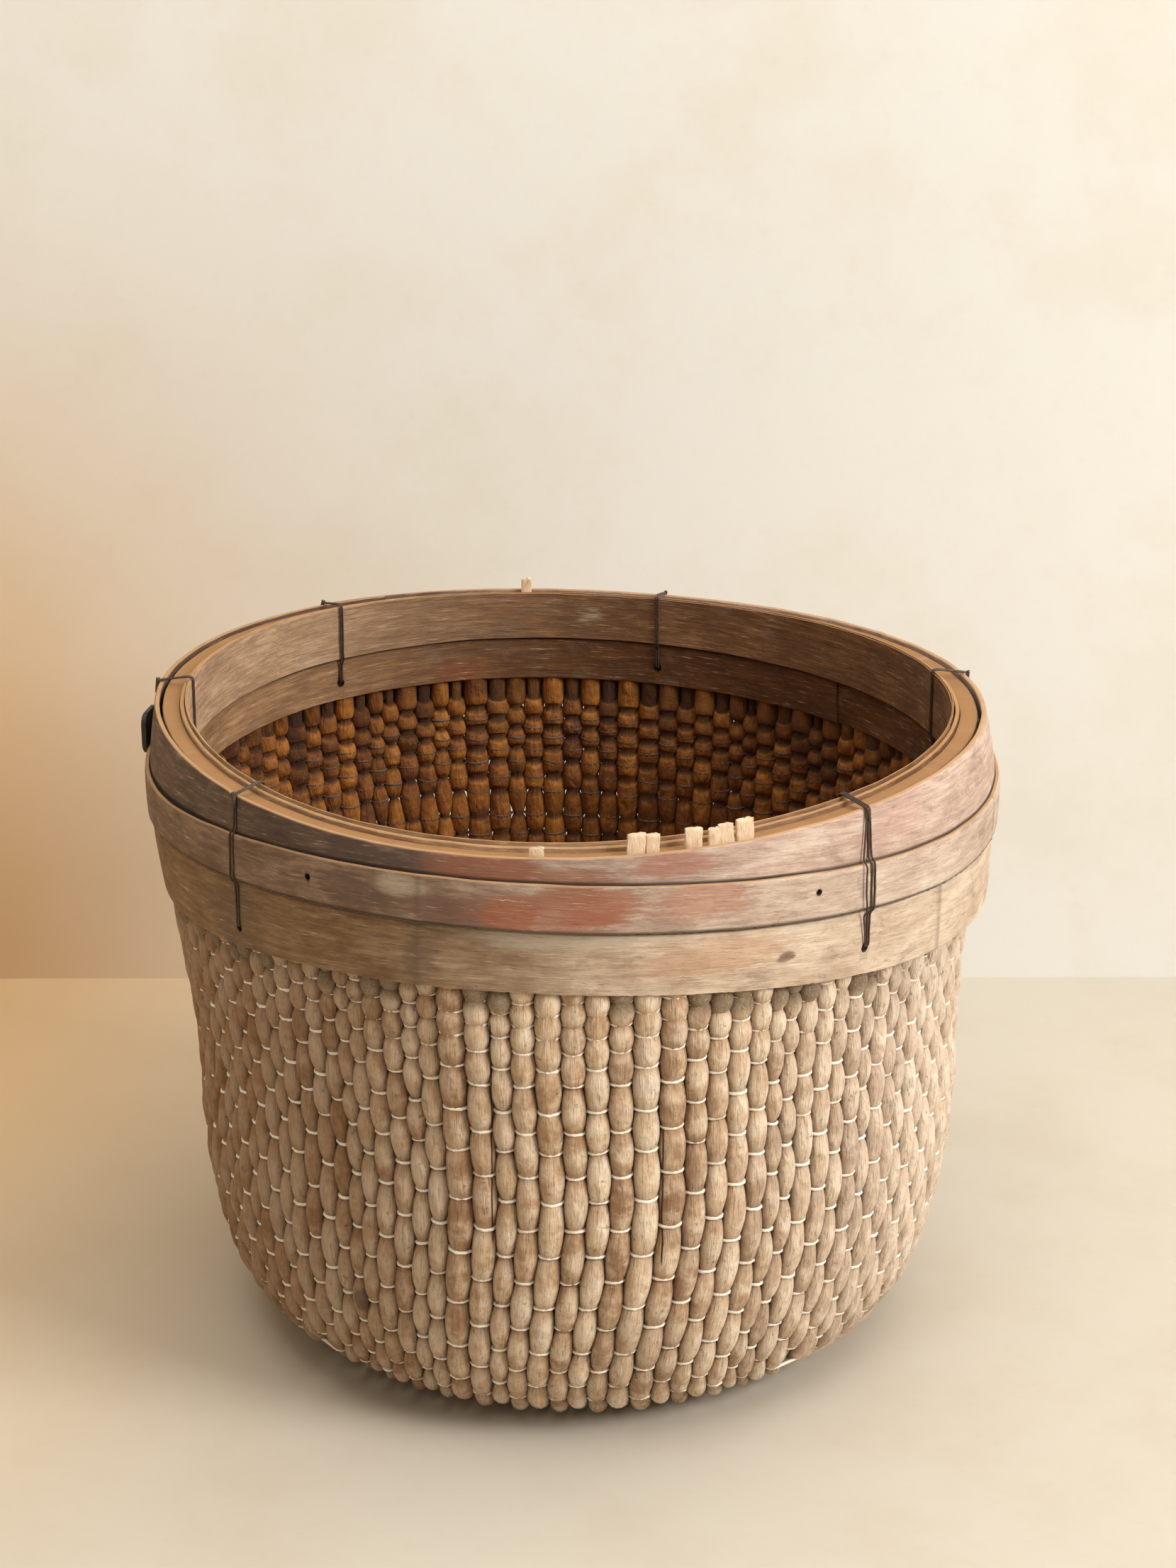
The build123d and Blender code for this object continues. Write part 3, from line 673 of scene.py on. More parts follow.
class Socket:
    """A value in a material's node tree, with the usual signs for maths."""

    def __init__(self, tree, output):
        self.tree, self.output = tree, output

    def math(self, operation, other=None, flip=False):
        made = self.tree.nodes.new("ShaderNodeMath")
        made.operation = operation
        for n, value in enumerate([other, self] if flip else [self, other]):
            if isinstance(value, Socket):
                self.tree.links.new(value.output, made.inputs[n])
            elif value is not None:
                made.inputs[n].default_value = value
        return Socket(self.tree, made.outputs[0])

    def __add__(self, other):
        return self.math("ADD", other)

    def __sub__(self, other):
        return self.math("SUBTRACT", other)

    def __mul__(self, other):
        return self.math("MULTIPLY", other)

    def __rsub__(self, other):
        return self.math("SUBTRACT", other, flip=True)

    __radd__, __rmul__ = __add__, __mul__

    def clamp(self):
        return self.math("MINIMUM", 1.0).math("MAXIMUM", 0.0)

    def ramp(self, low, high):
        """0 below low, 1 above high, eased between; high may be the smaller one."""
        made = self.tree.nodes.new("ShaderNodeMapRange")
        made.interpolation_type = "SMOOTHSTEP"
        self.tree.links.new(self.output, made.inputs["Value"])
        made.inputs["From Min"].default_value, made.inputs["From Max"].default_value = low, high
        return Socket(self.tree, made.outputs["Result"])


print("a Socket knows", [name for name in vars(Socket) if not name.startswith("__")], "and + - *")

# %% [markdown]
# One method makes any node, from its type, its settings and its inputs. The others are shorthand for
# the few nodes used again and again: a noise, a stretched pattern, a patch around a place, a blend
# of two colours, a ramp of several and a bump. The last one plugs the results into the surface.

# %% A material under construction


class Finish:
    """A material under construction, with one method for any node."""

    def __init__(self, name):
        self.material = bpy.data.materials.new(name)
        self.material.use_nodes = True
        self.tree = self.material.node_tree
        self.surface = self.tree.nodes["Principled BSDF"]

    def node(self, kind, settings=None, out=0, **inputs):
        made = self.tree.nodes.new(kind)
        for key, value in (settings or {}).items():
            setattr(made, key, value)
        for key, value in inputs.items():
            if isinstance(value, Socket):
                self.tree.links.new(value.output, made.inputs[key])
            else:
                made.inputs[key].default_value = value
        return Socket(self.tree, made.outputs[out])

    def attribute(self, name, out="Fac"):
        return self.node("ShaderNodeAttribute", {"attribute_name": name}, out=out)

    def objects(self):
        return self.node("ShaderNodeTexCoord", out="Object")

    def parts(self, vector):
        made = self.tree.nodes.new("ShaderNodeSeparateXYZ")
        self.tree.links.new(vector.output, made.inputs[0])
        return [Socket(self.tree, made.outputs[n]) for n in range(3)]

    def vector(self, x=0.0, y=0.0, z=0.0):
        return self.node("ShaderNodeCombineXYZ", X=x, Y=y, Z=z)

    def stretch(self, vector, x=1.0, y=1.0, z=1.0):
        made = self.tree.nodes.new("ShaderNodeMapping")
        self.tree.links.new(vector.output, made.inputs["Vector"])
        made.inputs["Scale"].default_value = (x, y, z)
        return Socket(self.tree, made.outputs[0])

    def noise(self, vector, scale, detail=3.0, rough=0.55, warp=0.0):
        return self.node(
            "ShaderNodeTexNoise", Vector=vector, Scale=scale, Detail=detail, Roughness=rough,
            Distortion=warp,
        )

    def near(self, place, centre, reach, tall=1.0, ragged=0.0):
        """1 at a place, easing to 0 at its reach; a tall of 3 makes the patch a third as high."""
        made = self.tree.nodes.new("ShaderNodeVectorMath")
        made.operation = "DISTANCE"
        squeezed = self.stretch(place, 1.0, 1.0, tall)
        self.tree.links.new(squeezed.output, made.inputs[0])
        made.inputs[1].default_value = (centre[0], centre[1], centre[2] * tall)
        return (Socket(self.tree, made.outputs["Value"]) + ragged).ramp(reach, reach * 0.55)

    def blend(self, share, one, other):
        """One colour where share is 0, the other where it is 1."""
        made = self.tree.nodes.new("ShaderNodeMix")
        made.data_type = "RGBA"
        first, second = (socket for socket in made.inputs if socket.type == "RGBA")
        for socket, value in ((made.inputs[0], share), (first, one), (second, other)):
            if isinstance(value, Socket):
                self.tree.links.new(value.output, socket)
            else:
                socket.default_value = value if socket == made.inputs[0] else (*value, 1.0)
        return Socket(self.tree, next(socket for socket in made.outputs if socket.type == "RGBA"))

    def colours(self, share, *stops):
        """A colour ramp: each stop is its place and its colour."""
        made = self.tree.nodes.new("ShaderNodeValToRGB")
        self.tree.links.new(share.output, made.inputs[0])
        ramp = made.color_ramp
        while len(ramp.elements) < len(stops):
            ramp.elements.new(0.5)
        for element, (place, colour) in zip(ramp.elements, stops):
            element.position, element.color = place, (*colour, 1.0)
        return Socket(self.tree, made.outputs[0])

    def bump(self, height, strength, distance):
        return self.node("ShaderNodeBump", Height=height, Strength=strength, Distance=distance)

    def finish(self, colour, roughness, normal=None):
        for key, value in (("Base Color", colour), ("Roughness", roughness), ("Normal", normal)):
            if isinstance(value, Socket):
                self.tree.links.new(value.output, self.surface.inputs[key])
            elif value is not None:
                self.surface.inputs[key].default_value = value if key != "Base Color" else (*value, 1.0)
        return self.material


print("a Finish knows", [name for name in vars(Finish) if not name.startswith("__")])

# %% [markdown]
# We read colours off a screen, in 0 to 255, and Blender works in linear light. This turns one into
# the other, so a tone in this file can be checked with any colour picker.

# %% Colours as they look on screen


def tone(red, green, blue):
    """A colour as it looks on screen, turned into the light values that Blender works in."""
    screen = [value / 255 for value in (red, green, blue)]
    return tuple(((c + 0.055) / 1.055) ** 2.4 if c > 0.04 else c / 12.92 for c in screen)


print("white on screen is", tone(255, 255, 255), "and mid grey", round(tone(128, 128, 128)[0], 3))

# %% [markdown]
# ## Peeled willow
# Each rod has a tone of its own, slow blotches along it, fine fibres that run lengthwise, and dirt and
# painted shade in the narrow grooves beside the stitches. The fibres use the direction around the rod and
# the run along it, so they follow every bend. We start with light and shade painted over the whole wall:
# the left half is darkened with painted shade, the right half paled with painted light, and the inside is a
# darker, warm brown of painted shade.

# %% Painted light and shade, and weather, on willow


def painted_side_light_and_grey(f, colour, x, patches):
    """Painted shade towards the left, painted light towards the right, and greyed in patches."""
    left = (x + (patches - 0.5) * 0.12).ramp(0.02, -0.14)
    colour = f.blend(left * 0.66, colour, tone(124, 80, 38))
    right = (x + (patches - 0.5) * 0.08).ramp(0.03, 0.17)
    colour = f.blend(right * 0.45, colour, tone(242, 226, 210))
    grey = patches.ramp(0.5, 0.70) * 0.4
    return f.blend(grey, colour, tone(176, 156, 134))


def flank_dirt_and_painted_shade(f, colour, shade, groove):
    """Dark flanks, where a rod faces its neighbours, partly dirt and partly painted shade, and a warm brown
    on the basket's inside, darkened as painted shade.
    """
    outside = f.attribute("outside")
    colour = f.blend(outside.ramp(0.85, 0.30) * 0.45, colour, tone(104, 70, 42))
    colour = f.blend(outside.ramp(0.45, 0.05) * 0.75, colour, tone(62, 38, 20))
    inside = outside.ramp(0.05, -0.45)
    warm = f.colours(shade, (0.0, tone(82, 42, 8)), (0.5, tone(134, 78, 20)), (1.0, tone(180, 116, 42)))
    warm = f.blend(groove.ramp(0.60, 0.0) * 0.7, warm, tone(48, 24, 6))
    return f.blend(inside, colour, warm)


print("the darkest brown inside is", [round(value, 3) for value in tone(48, 24, 6)])

# %% [markdown]
# A few rods have dark spots, which are painted shade where gaps between the beads look dark, and two are
# cracked lengthwise. A spot is a place in metres, its reach, and how much lower than wide it is. A crack is
# its x and its two heights, and a slow noise lets its line wander.

# %% Spots and cracks

gap_shade_spots = [
    ((-0.103, -0.128, 0.220), 0.006, 0.8), ((0.107, -0.136, 0.219), 0.006, 0.8),
    ((0.084, -0.149, 0.188), 0.005, 0.7), ((-0.089, -0.138, 0.066), 0.006, 0.7),
    ((0.100, -0.140, 0.051), 0.007, 1.0), ((-0.113, -0.128, 0.160), 0.005, 0.7),
]
cracks = [(-0.0295, 0.112, 0.224), (0.0435, 0.10, 0.17)]


def gap_shaded(f, colour, place, rough_edge):
    for centre, reach, tall in gap_shade_spots:
        mask = f.near(place, centre, reach, tall, (rough_edge - 0.5) * (reach * 0.5))
        colour = f.blend(mask * 0.7, colour, tone(62, 42, 28))
    return colour


def cracked(f, colour, place, x, y, z):
    for x_crack, low, high in cracks:
        wander = x + (f.noise(place, 60.0, detail=2.0) - 0.5) * 0.002 - x_crack
        tall = z.ramp(low, low + 0.004) * z.ramp(high, high - 0.004)
        line = wander.math("ABSOLUTE").ramp(0.0005, 0.0002) * tall
        colour = f.blend(line * y.ramp(-0.12, -0.13), colour, tone(34, 22, 14))
    return colour


print("spots", len(gap_shade_spots), "cracks", len(cracks))

# %% [markdown]
# Now the whole willow. Every mark is a mask and a colour, laid over what was there before: first the rod's
# own tone, then worn and ruddy beads, painted shade on the left and painted light on the right with grey
# patches, flecks and fibres, scars, and last the torn tops. Painted shade also darkens the waists, the
# spots in the gaps, the flanks and the inside. The same masks, weighted, make the bump.

# %% Willow


def willow():
    f = Finish("willow_rod")
    around = f.attribute("around", out="Vector")
    run, own, groove = f.attribute("run"), f.attribute("tone"), f.attribute("groove")
    x, y, _ = f.parts(around)
    skin = f.vector(x=x * 0.0045, y=y * 0.0045, z=run + own * 7.0)
    place = f.objects()
    fibres = f.noise(f.stretch(skin, 1.0, 1.0, 0.07), 2400.0, detail=4.0)
    streaks = f.noise(f.stretch(skin, 1.0, 1.0, 0.16), 420.0, detail=3.0, warp=0.3)
    blotches = f.noise(skin, 95.0, detail=4.0, rough=0.6)
    x_place, y_place, z_place = f.parts(place)
    patches = f.noise(place, 16.0, detail=3.0)
    bead = f.attribute("bead")
    shade = (own * 0.14 + bead * 0.12 + blotches * 0.46 + streaks * 0.28).ramp(0.27, 0.73)
    colour = f.colours(
        shade, (0.0, tone(150, 112, 80)), (0.35, tone(202, 168, 134)), (0.65, tone(228, 200, 168)),
        (1.0, tone(250, 232, 208)),
    )
    # Paler bellies: partly wear and partly a painted highlight on the swell of each bead.
    worn = groove.ramp(0.55, 1.0) * blotches.ramp(0.42, 0.62) * 0.5
    colour = f.blend(worn, colour, tone(240, 222, 198))
    ruddy = groove.ramp(0.95, 0.35) * (bead * 0.34 + 0.12)
    colour = f.blend(ruddy, colour, tone(150, 104, 70))
    # Painted shade on the left of the wall and painted light on the right.
    colour = painted_side_light_and_grey(f, colour, x_place, patches)
    flecks = f.noise(f.stretch(skin, 1.0, 1.0, 0.35), 900.0, detail=2.0).ramp(0.60, 0.74) * 0.5
    colour = f.blend(flecks, colour, tone(132, 96, 62))
    lines = fibres.ramp(0.54, 0.70) * 0.42 + streaks.ramp(0.60, 0.68) * 0.30
    colour = f.blend(lines.clamp(), colour, tone(104, 70, 42))
    scars = f.noise(place, 230.0, detail=4.0, rough=0.7).ramp(0.63, 0.72) * 0.6
    colour = f.blend(scars, colour, tone(84, 56, 36))
    # Darker towards each waist: dirt and painted shade in the crease at the stitch.
    colour = f.blend(groove.ramp(0.42, 0.0) * 0.75, colour, tone(84, 56, 34))
    # Dark spots of painted shade, where gaps between the beads look dark.
    colour = gap_shaded(f, colour, place, scars + blotches)
    torn = f.attribute("torn")
    swirl = f.noise(place, 700.0, detail=4.0, rough=0.7, warp=1.6)
    torn_colour = f.colours(
        swirl, (0.3, tone(112, 90, 66)), (0.55, tone(164, 142, 112)), (0.8, tone(196, 176, 146)),
    )
    colour = f.blend(torn * 0.8, colour, torn_colour)
    colour = cracked(f, colour, place, x_place, y_place, z_place)
    # Flanks darkened by dirt and painted shade, and the inside by painted shade.
    colour = flank_dirt_and_painted_shade(f, colour, shade, groove)
    cuts = f.noise(f.stretch(skin, 1.0, 1.0, 0.5), 260.0, detail=2.0, warp=0.8)
    facets = f.noise(f.stretch(skin, 1.0, 1.0, 0.42), 150.0, detail=1.0, warp=1.4)
    height = fibres * 0.9 + streaks * 1.1 + blotches + cuts * 1.2 + facets * 2.2
    height = height + swirl * torn * 2.2 + scars * 0.6
    rough = 0.60 + fibres * 0.25
    return f.finish(colour, rough, f.bump(height, 0.85, 0.0011))


willow_rod = willow()
print("material", willow_rod.name)

# %% [markdown]
# ## The rods
# Between two stitches a rod swells quickly and then stays full, like a string of sausages, so we add
# stations between the rows and ease the radius from the waist at a stitch to the belly half way.

# %% Shape the rods

long_foot_fill, side_foot_fill = 0.6, 1.3
side_tip_reach = 5.5
from_waist, from_belly = [0.0, 0.06, 0.19, 0.42, 0.71], [0.0, 0.29, 0.58, 0.81, 0.94]


def swell(t, fullness):
    """0 at the waist and 1 at the belly, quick at first."""
    return sin(pi / 2 * min(max(t, 0.0), 1.0)) ** fullness


def slimness(key):
    """0 for the widest rods and 1 for the slimmest, which are pinched most."""
    width = (long_rod_width_shares if key[0] == "long" else side_width_shares)[key[1]]
    return min(max((1.12 - width) / 0.3, 0.0), 1.0)


def waist_extra(key):
    return 0.35 + 1.1 * slimness(key)


def belly_extra(key):
    return 0.85 + 0.35 * slimness(key)


def eased_radius(key, point, radius, phase):
    """The stitched radius pinched more at a waist and fuller at a belly; the foot stays closed."""
    rise = smooth((point.z - 8) / 25)
    closed = long_foot_fill if key[0] == "long" else side_foot_fill
    if phase == -1:
        return radius + (closed - long_foot_fill) * (1 - rise) - waist_extra(key) * rise
    if phase == 1:
        return radius + mix(closed, belly_extra(key), rise)
    return radius + closed * (1 - rise)


def step_share(t, phase_a, phase_b, fullness):
    """How far a step is from the first station's thickness to the second's."""
    if phase_a == -1 and phase_b == 1:
        return swell(t, fullness)
    if phase_a == 1 and phase_b == -1:
        return 1 - swell(1 - t, fullness)
    return t


def beaded(key, stations, rng, cut_off):
    """A rod with eased steps from waist to belly: point, radius, groove, torn end, outward and tone."""
    fine, bead = [], 0.5
    for one, other in zip(stations, stations[1:]):
        (a, out_a, radius_a, _, phase_a), (b, out_b, radius_b, _, phase_b) = one, other
        fullness = rng.uniform(0.34, 0.62)
        if phase_a != 1:
            bead = rng.random()
        wide_a, wide_b = eased_radius(key, a, radius_a, phase_a), eased_radius(key, b, radius_b, phase_b)
        if phase_a == 0 or phase_b == 0 or phase_a == phase_b:
            steps = [0.0, 0.5]
        else:
            steps = from_waist if phase_a == -1 else from_belly
        for t in steps:
            share = step_share(t, phase_a, phase_b, fullness)
            point = a.lerp(b, t)
            if phase_a * phase_b == -1:
                point += (out_a * phase_a * crossing_offset) * (1 - share - (1 - t))
                point += (out_b * phase_b * crossing_offset) * (share - t)
            radius = mix(wide_a, wide_b, share)
            full = 1.0 if phase_a == 0 else share if phase_a == -1 else 1 - share
            torn = cut_off * smooth((12.0 - below_strips(point)) / 5.0) * (point.z > 200.0)
            fine.append((point, radius * (1 + 0.07 * torn), full, torn, out_a, bead))
    last, out_last, radius_last, _, phase_last = stations[-1]
    fine.append((last, eased_radius(key, last, radius_last, phase_last), 1.0, 0.0, out_last, bead))
    if key[0] != "long" and last.z < 12:
        tip = last + (last - fine[-2][0]).normalized() * side_tip_reach
        fine.append((tip, radius_last, 1.0, 0.0, out_last, bead))
    return fine


print("the middle rod loses", round(waist_extra(("long", 13)), 2), "mm of radius at a waist")

# %% [markdown]
# Every rod draws its own fullness for each bead, and about half of them end in a torn top. The seed
# keeps these draws the same from run to run.

# %% All rods, beaded
rng = random.Random(5)
shaped = {key: beaded(key, stations, rng, rng.random() < 0.5) for key, stations in rods.items()}
print("fine stations", sum(len(s) for s in shaped.values()))

# %% [markdown]
# The shared frame keeps the rods in nine groups, by their side and their place in the wall.

# %% Groups of rods
rod_groups = {
    "long_rods_left": [("long", i) for i in range(0, 9)],
    "long_rods_middle": [("long", i) for i in range(9, 18)],
    "long_rods_right": [("long", i) for i in range(18, 27)],
    "right_side_rods_front": [("right", j) for j in range(0, 11)],
    "right_side_rods_middle": [("right", j) for j in range(11, 22)],
    "right_side_rods_back": [("right", j) for j in range(22, 33)],
    "left_side_rods_back": [("left", j) for j in range(0, 11)],
    "left_side_rods_middle": [("left", j) for j in range(11, 22)],
    "left_side_rods_front": [("left", j) for j in range(22, 33)],
}
print("groups", len(rod_groups), "with", sum(len(members) for members in rod_groups.values()), "rods")

# %% [markdown]
# The tree wants a mesh of bare edges with a few values stored at each point: the thickness, the run
# along the stock, its tone, and where it is grooved or torn. One function writes them for rods, twine
# and wire alike.

# %% One object of round stock


def store(mesh, label, values):
    layer = mesh.attributes.new(label, "FLOAT", "POINT")
    layer.data.foreach_set("value", values)


def round_strings(name, strings, material, sides, lump_height=0.0, lump_size=0.01, seed=0.0, closed=False):
    """One object of round stock: a string is a list of stations, as beaded gives them, and a tone."""
    points, edges, outwards = [], [], []
    stored = {label: [] for label in ("thick", "run", "tone", "groove", "torn", "bead")}
    for stations, shade in strings:
        first, length = len(points), 0.0
        for n, (point, radius, full, *more) in enumerate(stations):
            if n:
                length += (point - stations[n - 1][0]).length
                edges.append((len(points) - 1, len(points)))
            points.append(point * mm)
            torn, outward, bead = more or (0.0, (0.0, 0.0, 0.0), 0.5)
            outwards.extend(outward)
            for label, value in zip(stored, (radius * mm, length * mm, shade, full, torn, bead)):
                stored[label].append(value)
        if closed:
            edges.append((len(points) - 1, first))
    mesh = bpy.data.meshes.new(name)
    mesh.from_pydata(points, edges, [])
    for label, values in stored.items():
        store(mesh, label, values)
    mesh.attributes.new("outward", "FLOAT_VECTOR", "POINT").data.foreach_set("vector", outwards)
    carrier = placed(name + "_path", mesh)
    skin = carrier.modifiers.new("stock", "NODES")
    skin.node_group = stock_tree
    given = {
        "Sides": sides, "Lump Height": lump_height * mm, "Lump Size": lump_size * mm, "Seed": seed,
        "Material": material,
    }
    for item in stock_tree.interface.items_tree:
        if item.in_out == "INPUT" and item.name in given:
            skin[item.identifier] = given[item.name]
    piece = plain_mesh(name, carrier)
    print(name, len(piece.data.polygons), "faces")
    return piece


print("inputs", [item.name for item in stock_tree.interface.items_tree])

# %% [markdown]
# The rods become objects, one for each group. Fourteen sides are enough for a rod 10 mm thick, and
# lumps 0.7 mm high and 9 mm long take the turned look off it.

# %% Rods
for number, (name, members) in enumerate(rod_groups.items()):
    strings = [(shaped[key], rng.uniform(0, 1)) for key in members]
    piece = round_strings(name + "_willow", strings, willow_rod, 14, 0.7, 9.0, seed=number * 3.1)
    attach(piece, "root")
    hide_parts(name)

# %% [markdown]
# ## The twine
# Each row of stitching goes round the whole wall, outside one rod and inside the next. It is laid round
# circles a little bigger than the rods: an arc round each, and a straight run to the next one.

# %% Threads round circles

twine_radius = 0.78
twine_press = 0.9


def wrapped(circles, steps=4):
    """Points of a thread laid round circles (x, y, radius, side) in turn."""
    ends = []
    for (x0, y0, r0, s0), (x1, y1, r1, s1) in zip(circles, circles[1:]):
        distance, heading = hypot(x1 - x0, y1 - y0), atan2(y1 - y0, x1 - x0)
        lean = asin(max(min((s0 * r0 - s1 * r1) / distance, 1.0), -1.0))
        normal = heading - pi / 2 + lean
        ends.append(((x0 + s0 * r0 * cos(normal), y0 + s0 * r0 * sin(normal)),
                     (x1 + s1 * r1 * cos(normal), y1 + s1 * r1 * sin(normal))))
    points = []
    for (x, y, r, side), (start, _), (_, arrive) in zip(circles[1:-1], ends[1:], ends[:-1]):
        first, last = atan2(arrive[1] - y, arrive[0] - x), atan2(start[1] - y, start[0] - x)
        turn = (last - first) * side % (2 * pi) * side
        if abs(turn) > pi * 1.5:
            turn = 0.0
        for n in range(steps + 1):
            angle = first + turn * n / steps
            points.append((x + r * cos(angle), y + r * sin(angle), side))
    return points


print("three rods' arcs:", len(wrapped([(n * 9, 0, 5, (-1) ** n) for n in range(5)])), "points")

# %% [markdown]
# At a waist the twine lies in the pinch, and at a belly on the swell, so each circle is the rod's
# own, drawn in by what the looks add to the rod or take from it. Under the strips it is pulled tight.
# A slow noise lets the thread sag and change its thickness, as twine does by hand.

# %% A row of twine


def ring_circle(key, station, k, row):
    middle, outward, radius, along = station
    side = -phase_at(k, row)
    level = Vector((outward.x, outward.y, 0)).normalized()
    middle = middle + level * (side * (radius / abs(along.z) - radius))
    drawn = 0.45 * waist_extra(key) - 0.35 if side == 1 else 1.2 - belly_extra(key)
    tight = 1.0 if below_strips(middle) < 0 else 0.0
    return middle.x, middle.y, radius - drawn - tight + twine_radius * twine_press, side


def ring_circles(row):
    share, circles = wall_rows[row], []
    for back in (False, True):
        for n in range(long_rod_count):
            i = long_rod_count - 1 - n if back else n
            k = n + (long_rod_count + side_rod_count if back else 0)
            circles.append(ring_circle(("long", i), long_station(i, share, back, phase_at(k, row)), k, row))
        for j in range(side_rod_count):
            k = j + long_rod_count + (long_rod_count + side_rod_count if back else 0)
            station = side_station(j, share, back, phase_at(k, row))
            if rod_end_share(j, back) < share and station[2] > 2.0:
                circles.append(ring_circle(("side", j), station, k, row))
    return circles


def ring_strings(row):
    circles = ring_circles(row)
    height = wall_row_shares[row] * basket_height
    strings = []
    for x, y, side in wrapped(circles + circles[:2]):
        spot = Vector((x, y, height))
        sag = noise.noise(Vector((x * 0.11, y * 0.11, row * 7.3))) * 0.9
        fat = 1 + 0.22 * noise.noise(Vector((x * 0.3, y * 0.3, row * 3.1)))
        # Groove is 1 where the thread lies outside a rod and 0 inside it, where the twine gets painted
        # shade.
        strings.append((spot + Vector((0, 0, sag)), twine_radius * fat, max(side, 0)))
    return strings


print("circles in the first row below the strips", len(ring_circles(unthreaded_row_count)))

# %% [markdown]
# The twine is nearly white, with a diagonal wave for its twist, brown dirt in patches, and painted shade
# where it dives between two rods and lies on the inside.

# %% Twine


def twine_material():
    f = Finish("white_twine")
    around, run = f.attribute("around", out="Vector"), f.attribute("run")
    x, y, _ = f.parts(around)
    place = f.objects()
    wave = f.node(
        "ShaderNodeTexWave", {"wave_type": "BANDS", "bands_direction": "DIAGONAL"},
        Vector=f.vector(x=x * 0.6, y=y * 0.6, z=run * 1800.0), Scale=0.35, Distortion=1.2, Detail=1.0,
    )
    dirt_and_shade = f.noise(place, 38.0, detail=3.0).ramp(0.48, 0.76)
    fuzz = f.noise(place, 1500.0, detail=2.0)
    colour = f.blend(dirt_and_shade * 0.5, tone(250, 244, 232), tone(206, 184, 152))
    colour = f.blend(wave * 0.18, colour, tone(222, 206, 182))
    # Painted shade on the thread where it lies inside the rods and dives between them.
    colour = f.blend(f.attribute("groove").ramp(0.98, 0.70) * 0.94, colour, tone(66, 38, 14))
    return f.finish(colour, 0.75, f.bump(wave * 0.7 + fuzz * 0.5, 0.5, 0.0003))


white_twine = twine_material()
print("material", white_twine.name)

# %% [markdown]
# The rings are made in four groups, from the rim down, and each group replaces one node.

# %% Rings of twine
ring_rows = [
    row for row, share in enumerate(wall_row_shares)
    if row >= unthreaded_row_count and share * basket_height > lowest_ring_height
]
ring_groups = {
    "rim_threads": ring_rows[:3], "upper_threads": ring_rows[3:9],
    "middle_threads": ring_rows[9:15], "lower_threads": ring_rows[15:],
}
for name, rows in ring_groups.items():
    strings = [(ring_strings(row), 0.5) for row in rows]
    piece = round_strings(name + "_twine", strings, white_twine, 6, closed=True)
    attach(piece, "root")
    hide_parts(name)

# %% [markdown]
# The floor's rods are stitched in the same way, in straight rows across them.

# %% Twine across the floor

floor_strings = []
for row in range(floor_row_count):
    y = (row - (floor_row_count - 1) / 2) * floor_row_spacing
    circles = []
    for i in range(long_rod_count):
        if abs(y) < abs(long_point(i, 0.0, False).y) - floor_row_spacing / 2:
            middle, _, radius, _ = floor_station(i, y, phase_at(i, row))
            drawn = 0.0 if phase_at(i, row) == -1 else -0.6
            radius = radius - drawn + twine_radius * twine_press
            circles.append((floor_xs[i], middle.z, radius, phase_at(i, row)))
    string = []
    for x, z, side in wrapped(circles):
        lift = Vector((0, 0, max(z, twine_radius * 1.3)))
        # Where the thread lies high, on the inside of the floor, the twine gets painted shade.
        string.append((warp(Vector((x, y, 0))) + lift, twine_radius, float(z < floor_halves[0])))
    floor_strings.append((string, 0.5))
floor_twine = round_strings("floor_threads_twine", floor_strings, white_twine, 6)
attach(floor_twine, "root")
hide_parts("floor_threads")

# %% [markdown]
# ## Bent strips
# Every strip of the rim is bent round once and laps over its own end. We carry a section with
# rounded edges round the rim in small steps. Its edges wander a little, as split bamboo does, and a
# flare lets it stand off its neighbour where the photo shows a dark gap. Knots are the bamboo's joints.

# %% Strip shapes

lap_angle = radians(9)


def lap(turn, left, thickness):
    """How far a strip stands off its seat, and how thick it is, near its two ends."""
    tip, gap = min(1.0, thickness * 0.6), min(0.3, thickness * 0.3)
    if turn < 2 * lap_angle:
        return 0.0, mix(tip, thickness, turn / (2 * lap_angle))
    if left < lap_angle:
        return mix(tip, thickness, (lap_angle - left) / (2 * lap_angle)) + gap, tip
    rise = max(1 - (left - lap_angle) / (2 * lap_angle), 0.0)
    return (tip + gap) * rise, mix(thickness, tip, rise)


def strip_loop(thick, height):
    """The outline of a strip's section: depth, height and whether the point is on a cut edge."""
    r = min(0.4, thick * 0.3)
    outer = [(thick, r, 0)] + [(thick, height * n / 6, 0) for n in range(1, 6)] + [(thick, height - r, 0)]
    inner = [(0.0, height - r, 0), (0.0, height * 2 / 3, 0), (0.0, height / 3, 0), (0.0, r, 0)]
    over = [(thick - r, height, 1), (thick / 2, height, 1), (r, height, 1)]
    under = [(r, 0.0, 1), (thick / 2, 0.0, 1), (thick - r, 0.0, 1)]
    return outer + over + inner + under


print("a strip's section has", len(strip_loop(2.4, 20.0)), "points")

# %% [markdown]
# Wire and nails pass through drilled holes. Short cylinders stand where the holes go, all in one mesh,
# and one Boolean modifier takes them out of the strip.

# %% Holes through a strip

drill_length = 50 * mm


